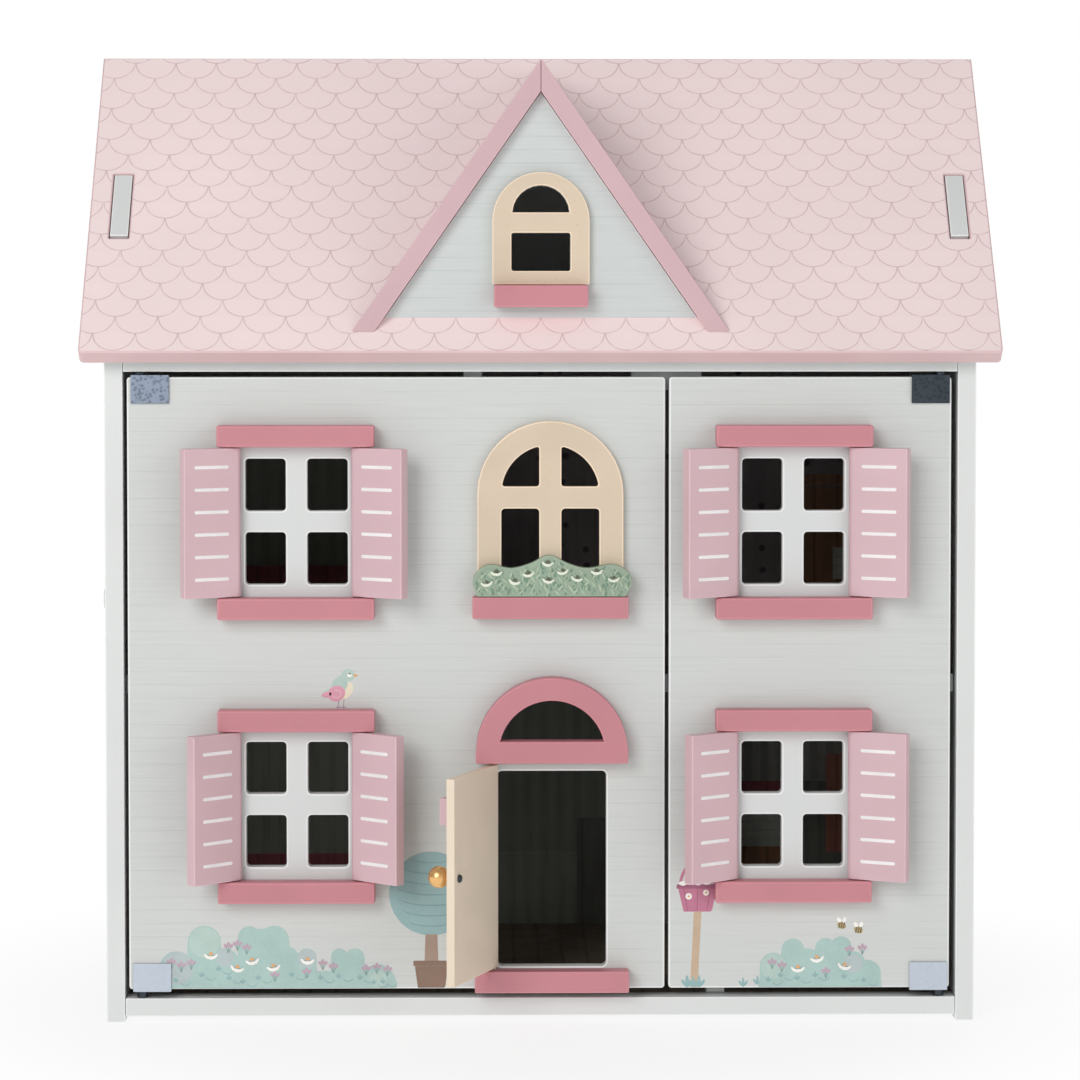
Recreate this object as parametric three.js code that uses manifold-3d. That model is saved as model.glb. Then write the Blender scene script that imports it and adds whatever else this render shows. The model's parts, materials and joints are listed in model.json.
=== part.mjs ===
// A wooden dollhouse: carcass of flat boards, two hinged front panels with shutter windows,
// a front door, and a gable roof whose front slope carries a dormer and lifts on ridge hinges.
// Millimetres. +X to the right seen from the front, +Y towards the back, +Z up.
// The model is laid out with y = 0 at the outer face of the front panels, and is then moved
// along Y so that its origin lies at the middle of the base of its box.

import * as THREE from 'three';
import { mergeVertices } from 'three/addons/utils/BufferGeometryUtils.js';
import Module from 'manifold-3d';

const wasm = await Module();
wasm.setup();

// ---------------------------------------------------------------- driving dimensions

// fits
const seam = 0.3;            // glue line between pieces that touch
const runGap = 0.3;          // clearance round a pin that turns in wood
const slotGap = 0.6;         // clearance round a wall tab in its roof slot
const slotSwingGap = 2.2;    // clearance at a slot's lower end, where the roof swings past the tab
const slotCorner = 0.6;
const boreSlack = 1;         // bore deeper than its pin
const overlap = 1;           // how far a cutter or a joined piece runs past or into its neighbour
const ample = 1000;          // cutter larger than whatever it has to clear

// carcass
const houseWidth = 571;      // across the side walls
const houseDepth = 276;      // side walls, front to back
const board = 12;            // boards of the carcass and the roof
const footHeight = 4;        // side walls stand below the base board
const storeyHeight = 200.2;  // clear height of a room
const backThickness = 5;
const backInset = 3;         // back panel inside the walls' back edges
const backRise = 4.5;        // back panel above the attic floor
const swingRoom = 6;         // free depth behind the front panels
const upperPartitionX = -44.7;
const lowerPartitionX = 116;
const doorwayWidth = 70;
const doorwayHeight = 130;
const doorwayY = 150;        // middle of the partition doorways

// roof
const roofPitch = 51.34;     // degrees
const eaveOverhang = 22;     // eave edge in front of the side walls
const eaveRise = 1.3;        // eave edge above the attic floor
const gableOverhang = 14.5;  // roof beyond the side walls
const roofCorner = 3;        // rounded corners of the roof boards
const tabStart = 97.6;       // wall tab from the eave edge, along the slope
const tabLength = 52.8;

// dormer
const dormerPitch = 55.2;    // degrees
const dormerDrop = 9.7;      // dormer's apex below the ridge
const dormerSetback = 9.8;   // dormer's front behind the eave edge
const dormerRecess = 7.2;    // siding front behind the dormer boards
const dormerSiding = 9;
const dormerLedge = 14;      // roof board left round the dormer's mouth
const dormerWindowWidth = 63.4;
const dormerSillDrop = 147;  // sill's top below the dormer's apex
const dormerPaneWidth = 38.4;
const dormerPaneHeight = 24.8;
const dormerPaneRise = 9.2;  // rectangular pane above the sill
const dormerArchRise = 47.3; // half-round pane above the sill
const dormerArchRadius = 18.6;
const dormerArchSink = 1;    // pane arch's centre under its straight edge
const dormerPaneCorner = 1.5;
const dormerFrameArchRise = 41.9; // centre of the frame's round top above the sill
const dormerFootDepth = 5;   // dormer pieces are drawn this far under the slope, then cut by it
const dormerSillWidth = 61;

// front panels
const panelThickness = 9;
const panelTopGap = 3.5;     // under the attic floor
const panelBottomGap = 6;    // over the base board
const leftGap = 2.8;         // left panel to left wall
const rightGap = 4.2;        // right panel to right wall
const splitX = 82.8;         // middle of the gap between the panels
const splitGap = 2.6;
const panelCorner = 2;
const pivotInset = 11;       // pivot axis inside the side wall

// pivot caps on the front panels
const capWidth = 25;
const capOuter = 5.5;        // cap's outer edge beyond the pivot axis
const capHeight = 17.2;
const capPlate = 1.2;
const capBossRadius = 3.6;
const capPinRadius = 2;
const capPinLength = 7;
const capBossOverlap = 0.4;

// trim: lintels, sills, step and arches
const trimDepth = 13;        // how far trim stands out of a front panel
const trimHeight = 14.2;
const overlay = 5;           // thickness of the cream window frames

// shutter windows
const windowLeftX = -160;
const windowRightX = 165.6;
const upperWindowRise = 102; // window centre above the floor of its storey
const lowerWindowRise = 128;
const paneWidth = 26.5;
const paneHeight = 34.2;
const paneGap = 14.1;
const paneCorner = 2.5;
const lintelWidth = 102.5;
const lintelSpacing = 98.6;  // lintel's underside over the sill's top

// shutters
const shutterWidth = 41;
const shutterThickness = 8;
const shutterEndGap = 0.6;   // over and under a shutter
const shutterPivotX = 40;    // from the window's centre
const shutterStandoff = 1.2; // shut shutter in front of the panel
const shutterPinRadius = 1.5;
const shutterPinLength = 7;
const shutterOpen = {         // degrees that the left and the right shutter stand open
  left_upper: [153, 148],
  left_lower: [138, 140],
  right_upper: [149, 155],
  right_lower: [144, 155],
};

// arch window
const archX = 6.2;
const archSillRise = 53.3;   // sill's top above the first floor
const archRise = 67;         // arch's centre above the sill's top
const archOuterRadius = 47.9;
const archInnerRadius = 32;
const archMullion = 14.6;
const archTransomTop = 5;    // above the arch's centre
const archTransomBottom = -9.6;
const archPaneBottom = 8;    // above the sill's top
const archPaneCorner = 2.2;  // rounding of its upper panes
const archRebate = 1.5;      // panel opening wider than the frame's panes
const archSillWidth = 102;

// flower planter
const planterWidth = 104;
const planterShoulder = 21.2;
const planterHump = 27.2;
const planterThickness = 7.4;
const planterShift = 1.2;    // right of the arch's middle
const planterDip = 2.4;      // dips under the shoulders
const planterSlope = 3;      // outline's points beside the hump, above the dips

// front door
const doorX = 7.2;           // middle of the doorway
const doorWidth = 71.6;
const doorSillRise = 20.7;   // doorway above the base board
const doorHeight = 129.2;
const doorCorner = 3;
const stepWidth = 101;
const stepGap = 1.1;         // doorway's bottom over the step's top
const fanlightRadius = 49.8;
const fanlightInner = 34.8;
const fanlightRise = 13;     // arch's centre above the doorway
const fanlightFoot = 6.5;    // arch's centre above its foot
const fanlightSill = 8;      // opening's sill above the arch's centre
const leafWidth = 77;
const leafThickness = 5.5;
const leafEndGap = 1.6;      // over and under the leaf
const leafPivotX = -30.8;
const leafPinRadius = 1.5;
const leafPinLength = 7;
const leafStandoff = 0.5;    // shut leaf in front of the panel, past the seam
const leafOpen = 112;        // degrees, as it stands

// door furniture
const knobRadius = 7.2;
const knobInset = 8;         // from the leaf's free edge
const knobRise = 69;         // above the leaf's foot
const knobNeckRadius = 2.2;
const knobNeckLength = 1.2;
const knobFlare = 0.8;       // neck wider at the leaf
const knobHoleRadius = 1.8;
const screwRadius = 2.6;
const screwShankRadius = 1.3;
const screwHead = 1.6;       // height of the pan head
const screwRim = 0.8;        // straight part of the head
const boxWidth = 30;
const boxHeight = 17.2;
const boxDepth = 8;
const boxInset = 8.2;        // letter box from the leaf's free edge
const boxRise = 102.5;       // above the leaf's foot

// ridge hinges
const ridgeHingeX = 190;
const ridgeHingeLength = 40;
const ridgeLeaf = 1.2;
const ridgeLeafReach = 9.5;  // moving leaf across the front board's end
const ridgeFixedReach = 24;
const knuckleRadius = 2;
const knuckleLength = 12;
const ridgePinRadius = 0.9;
const ridgePinGap = 0.25;
const ridgePinEnd = 0.5;     // pin beyond the outer knuckles
const leafStart = 0.5;       // leaf's edge beyond the knuckle
const webRoot = 0.6;         // moving leaf's web from the axis
const webLap = 1;            // web under the leaf

// magnetic catch
const catchWidth = 46;
const catchHeight = 12;
const catchDepth = 12;
const strikeWidth = 16;
const strikeHeight = 9;
const strikePlate = 1;
const strikeInset = 2;       // strike plate inside the panel's edges
const catchGap = 0.6;        // strike plate to catch

// cap on the left wall
const wallCapRadius = 6.5;
const wallCapThickness = 1.5;
const wallCapY = 14;
const wallCapZ = 278.5;

// ---------------------------------------------------------------- derived places

const rad = Math.PI / 180;
const innerX = houseWidth / 2 - board;
const baseTop = footHeight + board;
const firstFloorBottom = baseTop + storeyHeight;
const firstFloorTop = firstFloorBottom + board;
const atticBottom = firstFloorTop + storeyHeight;
const atticTop = atticBottom + board;
const roomFront = panelThickness + swingRoom;
const backInside = houseDepth - backThickness - backInset;
const roomBack = backInside - seam;

const ridgeY = houseDepth / 2;
const eaveZ = atticTop + eaveRise;
const roofRun = ridgeY + eaveOverhang;
const pitchCos = Math.cos(roofPitch * rad);
const pitchSin = Math.sin(roofPitch * rad);
const roofSlope = roofRun / pitchCos;
const ridgeZ = eaveZ + roofRun * pitchSin / pitchCos;
const roofHalfWidth = houseWidth / 2 + gableOverhang;

const dormerFrontY = dormerSetback - eaveOverhang;
const dormerFootZ = eaveZ + dormerSetback * pitchSin / pitchCos;
const dormerApexZ = ridgeZ - dormerDrop;
const dormerTan = Math.tan(dormerPitch * rad);
const dormerHalfWidth = (dormerApexZ - dormerFootZ) / dormerTan;
const dormerInnerDrop = board / Math.cos(dormerPitch * rad);
const dormerSidingY = dormerFrontY + dormerRecess;
const dormerSillZ = dormerApexZ - dormerSillDrop;

const panelBottom = baseTop + panelBottomGap;
const panelTop = atticBottom - panelTopGap;
const pivotX = innerX - pivotInset;
const pivotY = panelThickness / 2;
const upperWindowZ = firstFloorTop + upperWindowRise;
const lowerWindowZ = baseTop + lowerWindowRise;
const archSillZ = firstFloorTop + archSillRise;
const archZ = archSillZ + archRise;
const doorBottom = baseTop + doorSillRise;
const doorTop = doorBottom + doorHeight;
const stepTop = doorBottom - stepGap;
const fanlightZ = doorTop + fanlightRise;
const fanlightBottom = fanlightZ - fanlightFoot;
const leafBottom = stepTop + leafEndGap;
const leafTop = fanlightBottom - leafEndGap;
const leafPivotY = -(seam + leafStandoff + leafThickness / 2);
const shutterPivotY = -(shutterStandoff + shutterThickness / 2);

// ---------------------------------------------------------------- geometry helpers

const frontView = new THREE.Matrix4().makeRotationX(Math.PI / 2);
const sideView = new THREE.Matrix4().makeBasis(
  new THREE.Vector3(0, 1, 0), new THREE.Vector3(0, 0, 1), new THREE.Vector3(1, 0, 0));

// roof frame: X along the eave, Y up the slope from the eave edge, Z out of the front slope
const slopeView = new THREE.Matrix4().makeBasis(
  new THREE.Vector3(1, 0, 0), new THREE.Vector3(0, pitchCos, pitchSin),
  new THREE.Vector3(0, -pitchSin, pitchCos)).setPosition(0, -eaveOverhang, eaveZ);

// turns a thing of the front slope half round the ridge, onto the rear slope
const toRear = new THREE.Matrix4().makeRotationZ(Math.PI).setPosition(0, 2 * ridgeY, 0);

function solid(geometry) {
  const bare = geometry.clone();
  bare.deleteAttribute('normal');
  bare.deleteAttribute('uv');
  const merged = mergeVertices(bare, 1e-4);
  return new wasm.Manifold(new wasm.Mesh({
    numProp: 3,
    vertProperties: new Float32Array(merged.attributes.position.array),
    triVerts: new Uint32Array(merged.index.array),
  }));
}

function geometryOf(manifold) {
  const mesh = manifold.getMesh();
  const geometry = new THREE.BufferGeometry();
  geometry.setAttribute('position', new THREE.BufferAttribute(mesh.vertProperties, 3));
  geometry.setIndex(new THREE.BufferAttribute(mesh.triVerts, 1));
  geometry.computeVertexNormals();
  return geometry;
}

function cut(base, ...tools) {
  return tools.reduce((whole, tool) => whole.subtract(solid(tool)), solid(base));
}

function join(base, ...parts) {
  return parts.reduce((whole, part) => whole.add(solid(part)), solid(base));
}

function extrude(shape, depth, curveSegments = 6) {
  return new THREE.ExtrudeGeometry(shape, { depth, bevelEnabled: false, curveSegments });
}

// a shape drawn in X and Z, made solid from y0 back to y1
function frontSlab(shape, y0, y1, curveSegments) {
  return extrude(shape, y1 - y0, curveSegments).applyMatrix4(frontView).translate(0, y1, 0);
}

// a shape drawn in Y and Z, made solid from x0 to x1
function sideSlab(shape, x0, x1, curveSegments) {
  return extrude(shape, x1 - x0, curveSegments).applyMatrix4(sideView).translate(x0, 0, 0);
}

// a shape drawn in X and slope distance, made solid from h0 up to h1 off the front slope
function slopeSlab(shape, h0, h1, curveSegments) {
  return extrude(shape, h1 - h0, curveSegments).translate(0, 0, h0).applyMatrix4(slopeView);
}

function block(x0, x1, y0, y1, z0, z1) {
  return new THREE.BoxGeometry(x1 - x0, y1 - y0, z1 - z0)
    .translate((x0 + x1) / 2, (y0 + y1) / 2, (z0 + z1) / 2);
}

function upright(radius, x, y, z0, z1, sides = 12) {
  return new THREE.CylinderGeometry(radius, radius, z1 - z0, sides)
    .rotateX(Math.PI / 2).translate(x, y, (z0 + z1) / 2);
}

function crosswise(radius, y, z, x0, x1, sides = 12) {
  return new THREE.CylinderGeometry(radius, radius, x1 - x0, sides)
    .rotateZ(Math.PI / 2).translate((x0 + x1) / 2, y, z);
}

function polygon(points) {
  return new THREE.Shape(points.map(([x, y]) => new THREE.Vector2(x, y)));
}

function roundedRect(x0, z0, x1, z1, r) {
  const shape = new THREE.Shape();
  shape.moveTo(x0 + r, z0);
  shape.lineTo(x1 - r, z0);
  shape.absarc(x1 - r, z0 + r, r, -Math.PI / 2, 0);
  shape.lineTo(x1, z1 - r);
  shape.absarc(x1 - r, z1 - r, r, 0, Math.PI / 2);
  shape.lineTo(x0 + r, z1);
  shape.absarc(x0 + r, z1 - r, r, Math.PI / 2, Math.PI);
  shape.lineTo(x0, z0 + r);
  shape.absarc(x0 + r, z0 + r, r, Math.PI, Math.PI * 1.5);
  return shape;
}

// straight sides from z0 up to the centre height, and a half circle over them
function archShape(x, z0, centreZ, radius) {
  const shape = new THREE.Shape();
  shape.moveTo(x - radius, z0);
  shape.lineTo(x + radius, z0);
  shape.lineTo(x + radius, centreZ);
  shape.absarc(x, centreZ, radius, 0, Math.PI);
  shape.lineTo(x - radius, z0);
  return shape;
}

// the part of a circle over a chord at the given height
function segmentShape(x, centreZ, radius, chordZ) {
  const start = Math.asin((chordZ - centreZ) / radius);
  const shape = new THREE.Shape();
  shape.absarc(x, centreZ, radius, start, Math.PI - start);
  shape.closePath();
  return shape;
}

// ---------------------------------------------------------------- finishes

function paint(color, roughness = 0.6, metalness = 0) {
  return new THREE.MeshStandardMaterial({ color, roughness, metalness });
}

const finishes = {
  white: () => paint(0xe4e4e0),
  siding: () => paint(0xd6d7d3),
  scales: () => paint(0xecdad9),
  blush: () => paint(0xc98e98),
  mauve: () => paint(0xcdb0b6),
  cream: () => paint(0xe3d0b5),
  leaves: () => paint(0x9db39e),
  steel: () => paint(0xa9b4bd, 0.35, 0.9),
  brass: () => paint(0xd9a860, 0.3, 0.9),
  wood: () => paint(0xd9b98f, 0.7),
  grey: () => paint(0x8b8f92, 0.5),
};

function piece(name, shape, finish) {
  const geometry = shape.isBufferGeometry ? shape : geometryOf(shape);
  const mesh = new THREE.Mesh(geometry, finishes[finish]());
  mesh.name = name;
  return mesh;
}

// ---------------------------------------------------------------- groups that turn

// a group at a pivot, turned by its standing angle; its pieces are drawn shut, in house places
function hinged(name, parent, pivot, standing = 0) {
  const group = new THREE.Group();
  group.name = name;
  group.userData.pivot = pivot;
  group.position.copy(pivot).sub(parent.userData.pivot);
  group.rotation.z = standing * rad;
  parent.add(group);
  return group;
}

function place(group, ...meshes) {
  for (const mesh of meshes) {
    mesh.position.copy(group.userData.pivot).negate();
    group.add(mesh);
  }
}

// ---------------------------------------------------------------- carcass

// a point of the front slope: s up the slope from the eave edge, h out of its face
function slopePoint(s, h) {
  return [-eaveOverhang + s * pitchCos - h * pitchSin, eaveZ + s * pitchSin + h * pitchCos];
}

// where a line parallel to the front slope, h out of its face, reaches the depth y
function slopeAt(y, h) {
  return slopePoint((y + eaveOverhang + h * pitchSin) / pitchCos, h);
}

function sideWall(x0) {
  const under = -board - seam;
  const tab = [[tabStart, under], [tabStart, 0], [tabStart + tabLength, 0],
    [tabStart + tabLength, under]].map(([s, h]) => slopePoint(s, h));
  const front = [slopeAt(0, under), ...tab];
  const rear = front.map(([y, z]) => [2 * ridgeY - y, z]);
  const outline = polygon([[0, 0], [houseDepth, 0], ...rear, slopeAt(ridgeY, under),
    ...front.reverse()]);
  return sideSlab(outline, x0, x0 + board);
}

function baseBoard() {
  return cut(block(seam - innerX, innerX - seam, 0, houseDepth, footHeight, baseTop),
    ...[-pivotX, pivotX].map((x) => upright(capPinRadius + runGap, x, pivotY,
      baseTop - capPinLength - boreSlack, baseTop + overlap)));
}

function atticFloor() {
  return cut(block(seam - innerX, innerX - seam, 0, roomBack, atticBottom, atticTop),
    ...[-pivotX, pivotX].map((x) => upright(capPinRadius + runGap, x, pivotY,
      atticBottom - overlap, atticBottom + capPinLength + boreSlack)));
}

function firstFloor() {
  return block(seam - innerX, innerX - seam, roomFront, roomBack, firstFloorBottom, firstFloorTop);
}

function backPanel() {
  return block(seam - innerX, innerX - seam, backInside, backInside + backThickness,
    baseTop + seam, atticTop + backRise);
}

function partition(x, floorZ) {
  const z0 = floorZ + seam;
  const wall = polygon([[roomFront, z0], [doorwayY - doorwayWidth / 2, z0],
    [doorwayY - doorwayWidth / 2, floorZ + doorwayHeight],
    [doorwayY + doorwayWidth / 2, floorZ + doorwayHeight],
    [doorwayY + doorwayWidth / 2, z0], [roomBack, z0],
    [roomBack, floorZ + storeyHeight - seam], [roomFront, floorZ + storeyHeight - seam]]);
  return sideSlab(wall, x - board / 2, x + board / 2);
}

function wallCap() {
  return crosswise(wallCapRadius, wallCapY, wallCapZ,
    -houseWidth / 2 - seam - wallCapThickness, -houseWidth / 2 - seam, 24);
}

function magneticCatch() {
  const y0 = panelThickness + seam + strikePlate + catchGap;
  return block(splitX - catchWidth / 2, splitX + catchWidth / 2, y0, y0 + catchDepth,
    atticBottom - seam - catchHeight, atticBottom - seam);
}

// ---------------------------------------------------------------- roof boards

// clears everything over the underside of the front roof board, and a seam below it
function frontRoofRoom() {
  return slopeSlab(polygon([[-ample, -ample], [ample, -ample], [ample, ample], [-ample, ample]]),
    -board - seam, ample);
}

function roofBoard() {
  const shape = new THREE.Shape();
  const w = roofHalfWidth;
  const r = roofCorner;
  shape.moveTo(-w + r, 0);
  shape.lineTo(w - r, 0);
  shape.absarc(w - r, r, r, -Math.PI / 2, 0);
  shape.lineTo(w, roofSlope);
  shape.lineTo(-w, roofSlope);
  shape.lineTo(-w, r);
  shape.absarc(-w + r, r, r, Math.PI, Math.PI * 1.5);
  return slopeSlab(shape, -board, 0, 4);
}

function tabSlots(lowerGap) {
  return [-innerX - board, innerX].map((x) => slopeSlab(roundedRect(x - slotGap,
    tabStart - lowerGap, x + board + slotGap, tabStart + tabLength + slotGap, slotCorner),
  -board - overlap, overlap, 1));
}

// triangular mouth of the dormer in the front roof board
function dormerMouth() {
  const base = dormerFootZ + dormerLedge;
  const top = dormerApexZ - dormerInnerDrop - dormerLedge;
  const half = (top - base) / dormerTan;
  return slopeSlab(polygon([[-half, (base - eaveZ) / pitchSin], [half, (base - eaveZ) / pitchSin],
    [0, (top - eaveZ) / pitchSin]]), -board - overlap, overlap);
}

function rearRoof() {
  const full = cut(roofBoard(), ...tabSlots(slotGap)).getMesh();
  const whole = new wasm.Manifold(full).transform(toRear.elements);
  return whole.subtract(solid(frontRoofRoom()));
}

// ---------------------------------------------------------------- dormer

// everything under the outer face of the front slope, and a seam over it
function underFrontSlope() {
  return slopeSlab(polygon([[-ample, -ample], [ample, -ample], [ample, ample], [-ample, ample]]),
    -ample, seam);
}

function dormerBoard(side) {
  const foot = dormerFootZ - dormerFootDepth;
  const spread = (apex) => (apex - foot) / dormerTan;
  const inner = dormerApexZ - dormerInnerDrop;
  const mitre = seam / 2;
  const outline = [[spread(dormerApexZ), foot], [mitre, dormerApexZ - mitre * dormerTan],
    [mitre, inner - mitre * dormerTan], [spread(inner), foot]].map(([x, z]) => [side * x, z]);
  return cut(frontSlab(polygon(outline), dormerFrontY, ridgeY), underFrontSlope());
}

function dormerPanes() {
  const archZ0 = dormerSillZ + dormerArchRise;
  return [
    segmentShape(0, archZ0 - dormerArchSink, dormerArchRadius, archZ0),
    roundedRect(-dormerPaneWidth / 2, dormerSillZ + dormerPaneRise, dormerPaneWidth / 2,
      dormerSillZ + dormerPaneRise + dormerPaneHeight, dormerPaneCorner),
  ];
}

function dormerSidingPanel() {
  const foot = dormerFootZ - dormerFootDepth;
  const apex = dormerApexZ - dormerInnerDrop - seam / Math.cos(dormerPitch * rad);
  const half = (apex - foot) / dormerTan;
  const panel = frontSlab(polygon([[-half, foot], [half, foot], [0, apex]]),
    dormerSidingY, dormerSidingY + dormerSiding);
  return cut(panel, underFrontSlope(), ...dormerPanes().map((shape) => frontSlab(shape,
    dormerSidingY - overlap, dormerSidingY + dormerSiding + overlap)));
}

function dormerWindow() {
  const radius = dormerWindowWidth / 2;
  const frame = archShape(0, dormerSillZ + seam, dormerSillZ + dormerFrameArchRise, radius);
  frame.holes.push(...dormerPanes());
  return frontSlab(frame, dormerSidingY - seam - overlay, dormerSidingY - seam, 12);
}

function dormerSill() {
  return block(-dormerSillWidth / 2, dormerSillWidth / 2, dormerSidingY - seam - trimDepth,
    dormerSidingY - seam, dormerSillZ - trimHeight, dormerSillZ);
}

// ---------------------------------------------------------------- ridge hinges

// hinge axis: off the inner corner of the front board's top end, one knuckle and a seam out
const [axisY, axisZ] = slopePoint(roofSlope + knuckleRadius + seam, -board);

// frames of the two leaves at the axis: first direction along the leaf, second out of its face
function leafPoint(along, out, towardFront) {
  const [y, z] = towardFront ? [-pitchSin, pitchCos] : [pitchCos, -pitchSin];
  const [ny, nz] = towardFront ? [pitchCos, pitchSin] : [pitchSin, pitchCos];
  return [axisY + along * y + out * ny, axisZ + along * z + out * nz];
}

function knuckleRanges(x, moving) {
  const ends = [x - ridgeHingeLength / 2, x + ridgeHingeLength / 2];
  return moving ? [[ends[0] + knuckleLength + seam, ends[1] - knuckleLength - seam]]
    : [[ends[0], ends[0] + knuckleLength], [ends[1] - knuckleLength, ends[1]]];
}

function hingeLeaf(x, plate, web, moving) {
  const knuckles = knuckleRanges(x, moving).flatMap(([x0, x1]) => [
    crosswise(knuckleRadius, axisY, axisZ, x0, x1), sideSlab(polygon(web), x0, x1)]);
  const leaf = join(sideSlab(polygon(plate), x - ridgeHingeLength / 2, x + ridgeHingeLength / 2),
    ...knuckles);
  return leaf.subtract(solid(crosswise(ridgePinRadius + ridgePinGap, axisY, axisZ,
    x - ridgeHingeLength, x + ridgeHingeLength)));
}

function movingLeaf(x) {
  const out = -knuckleRadius;
  const corner = (along, up) => leafPoint(along, out + up, true);
  const start = knuckleRadius + leafStart;
  return hingeLeaf(x, [corner(start, 0), corner(start, ridgeLeaf),
    corner(ridgeLeafReach, ridgeLeaf), corner(ridgeLeafReach, 0)].reverse(),
  [corner(webRoot, 0), corner(webRoot, ridgeLeaf), corner(start + webLap, ridgeLeaf),
    corner(start + webLap, 0)].reverse(), true);
}

function fixedLeaf(x) {
  // how far the rear board's outer face lies under the axis
  const drop = (axisY - ridgeY) * pitchSin + (axisZ - ridgeZ) * pitchCos;
  const corner = (along, out) => leafPoint(along, out, false);
  const low = seam - drop;
  const start = knuckleRadius + leafStart;
  const rise = 0.7 * knuckleRadius;
  return hingeLeaf(x, [corner(start, low), corner(start, low + ridgeLeaf),
    corner(ridgeFixedReach, low + ridgeLeaf), corner(ridgeFixedReach, low)],
  [corner(knuckleRadius, low), corner(rise, -rise), corner(rise, 0),
    corner(start + webLap, low + ridgeLeaf), corner(start + webLap, low)], false);
}

function ridgePin(x) {
  return crosswise(ridgePinRadius, axisY, axisZ, x - ridgeHingeLength / 2 - ridgePinEnd,
    x + ridgeHingeLength / 2 + ridgePinEnd, 10);
}

// ---------------------------------------------------------------- front panels

function windowPanes(x, z) {
  const panes = [];
  for (const sideX of [-1, 1]) {
    for (const sideZ of [-1, 1]) {
      const px = x + sideX * (paneWidth + paneGap) / 2;
      const pz = z + sideZ * (paneHeight + paneGap) / 2;
      panes.push(roundedRect(px - paneWidth / 2, pz - paneHeight / 2, px + paneWidth / 2,
        pz + paneHeight / 2, paneCorner));
    }
  }
  return panes;
}

function panelOpenings(shapes) {
  return shapes.map((shape) => frontSlab(shape, -overlap, panelThickness + overlap, 3));
}

function leftPanel() {
  const outline = roundedRect(leftGap - innerX, panelBottom, splitX - splitGap / 2, panelTop,
    panelCorner);
  const arch = archShape(archX, archSillZ + archPaneBottom - archRebate, archZ,
    archInnerRadius + archRebate);
  const fanlight = segmentShape(doorX, fanlightZ, fanlightInner + archRebate,
    fanlightZ + fanlightSill - archRebate);
  return cut(frontSlab(outline, 0, panelThickness, 2),
    ...panelOpenings([...windowPanes(windowLeftX, upperWindowZ),
      ...windowPanes(windowLeftX, lowerWindowZ), roundedRect(doorX - doorWidth / 2, doorBottom,
        doorX + doorWidth / 2, doorTop, doorCorner)]),
    ...[arch, fanlight].map((shape) => frontSlab(shape, -overlap, panelThickness + overlap, 12)));
}

function rightPanel() {
  const outline = roundedRect(splitX + splitGap / 2, panelBottom, innerX - rightGap, panelTop,
    panelCorner);
  return cut(frontSlab(outline, 0, panelThickness, 2),
    ...panelOpenings([...windowPanes(windowRightX, upperWindowZ),
      ...windowPanes(windowRightX, lowerWindowZ)]));
}

// U-shaped steel cap over a panel's corner, with a boss and the pivot pin on it
function pivotCap(side, atTop) {
  const up = atTop ? 1 : -1;
  const edge = atTop ? panelTop : panelBottom;
  const span = (a, b) => (atTop ? [edge + a, edge + b] : [edge - b, edge - a]);
  const xs = [side * (pivotX + capOuter), side * (pivotX + capOuter - capWidth)].sort((a, b) => a - b);
  const front = -seam - capPlate;
  const back = panelThickness + seam + capPlate;
  const gapToBoard = atTop ? panelTopGap : panelBottomGap;
  const top = seam + capPlate;
  const plates = [
    block(...xs, front, -seam, ...span(-capHeight, top)),
    block(...xs, panelThickness + seam, back, ...span(-capHeight, top)),
    block(...xs, front, back, ...span(seam, top)),
    upright(capBossRadius, side * pivotX, pivotY, ...span(top - capBossOverlap, gapToBoard - seam)),
    upright(capPinRadius, side * pivotX, pivotY, ...span(top - capBossOverlap, gapToBoard + capPinLength)),
  ];
  return join(...plates);
}

function strike(side) {
  const x = splitX + side * (splitGap / 2 + strikeInset);
  const xs = [x, x + side * strikeWidth].sort((a, b) => a - b);
  return block(...xs, panelThickness + seam, panelThickness + seam + strikePlate,
    panelTop - strikeInset - strikeHeight, panelTop - strikeInset);
}

// ---------------------------------------------------------------- trim

function bar(x, z0, width, holes) {
  const body = block(x - width / 2, x + width / 2, -seam - trimDepth, -seam, z0, z0 + trimHeight);
  return cut(body, ...holes);
}

function shutterBores(x, z0, z1) {
  return [-1, 1].map((side) => upright(shutterPinRadius + runGap, x + side * shutterPivotX,
    shutterPivotY, z0, z1));
}

function lintel(x, z) {
  const z0 = z + lintelSpacing / 2;
  return bar(x, z0, lintelWidth, shutterBores(x, z0 - overlap, z0 + shutterPinLength + boreSlack));
}

function sill(x, z) {
  const z1 = z - lintelSpacing / 2;
  return bar(x, z1 - trimHeight, lintelWidth,
    shutterBores(x, z1 - shutterPinLength - boreSlack, z1 + overlap));
}

// quarter-round pane of the arch window, over its transom, with its three corners rounded
function quarterPane(side) {
  const at = (u, v) => [archX + side * u, archZ + v];
  const onArc = (angle) => at(archInnerRadius * Math.cos(angle), archInnerRadius * Math.sin(angle));
  const inner = archMullion / 2;
  const start = Math.asin(archTransomTop / archInnerRadius);
  const end = Math.acos(inner / archInnerRadius);
  const trim = archPaneCorner / archInnerRadius;
  const outer = archInnerRadius * Math.cos(start);
  const top = archInnerRadius * Math.sin(end);
  const steps = 12;
  const shape = new THREE.Shape();
  shape.moveTo(...at(inner + archPaneCorner, archTransomTop));
  shape.lineTo(...at(outer - archPaneCorner, archTransomTop));
  shape.quadraticCurveTo(...at(outer, archTransomTop), ...onArc(start + trim));
  for (let k = 1; k <= steps; k += 1) {
    shape.lineTo(...onArc(start + trim + (end - start - 2 * trim) * k / steps));
  }
  shape.quadraticCurveTo(...at(inner, top), ...at(inner, top - archPaneCorner));
  shape.lineTo(...at(inner, archTransomTop + archPaneCorner));
  shape.quadraticCurveTo(...at(inner, archTransomTop),
    ...at(inner + archPaneCorner, archTransomTop));
  return shape;
}

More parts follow.
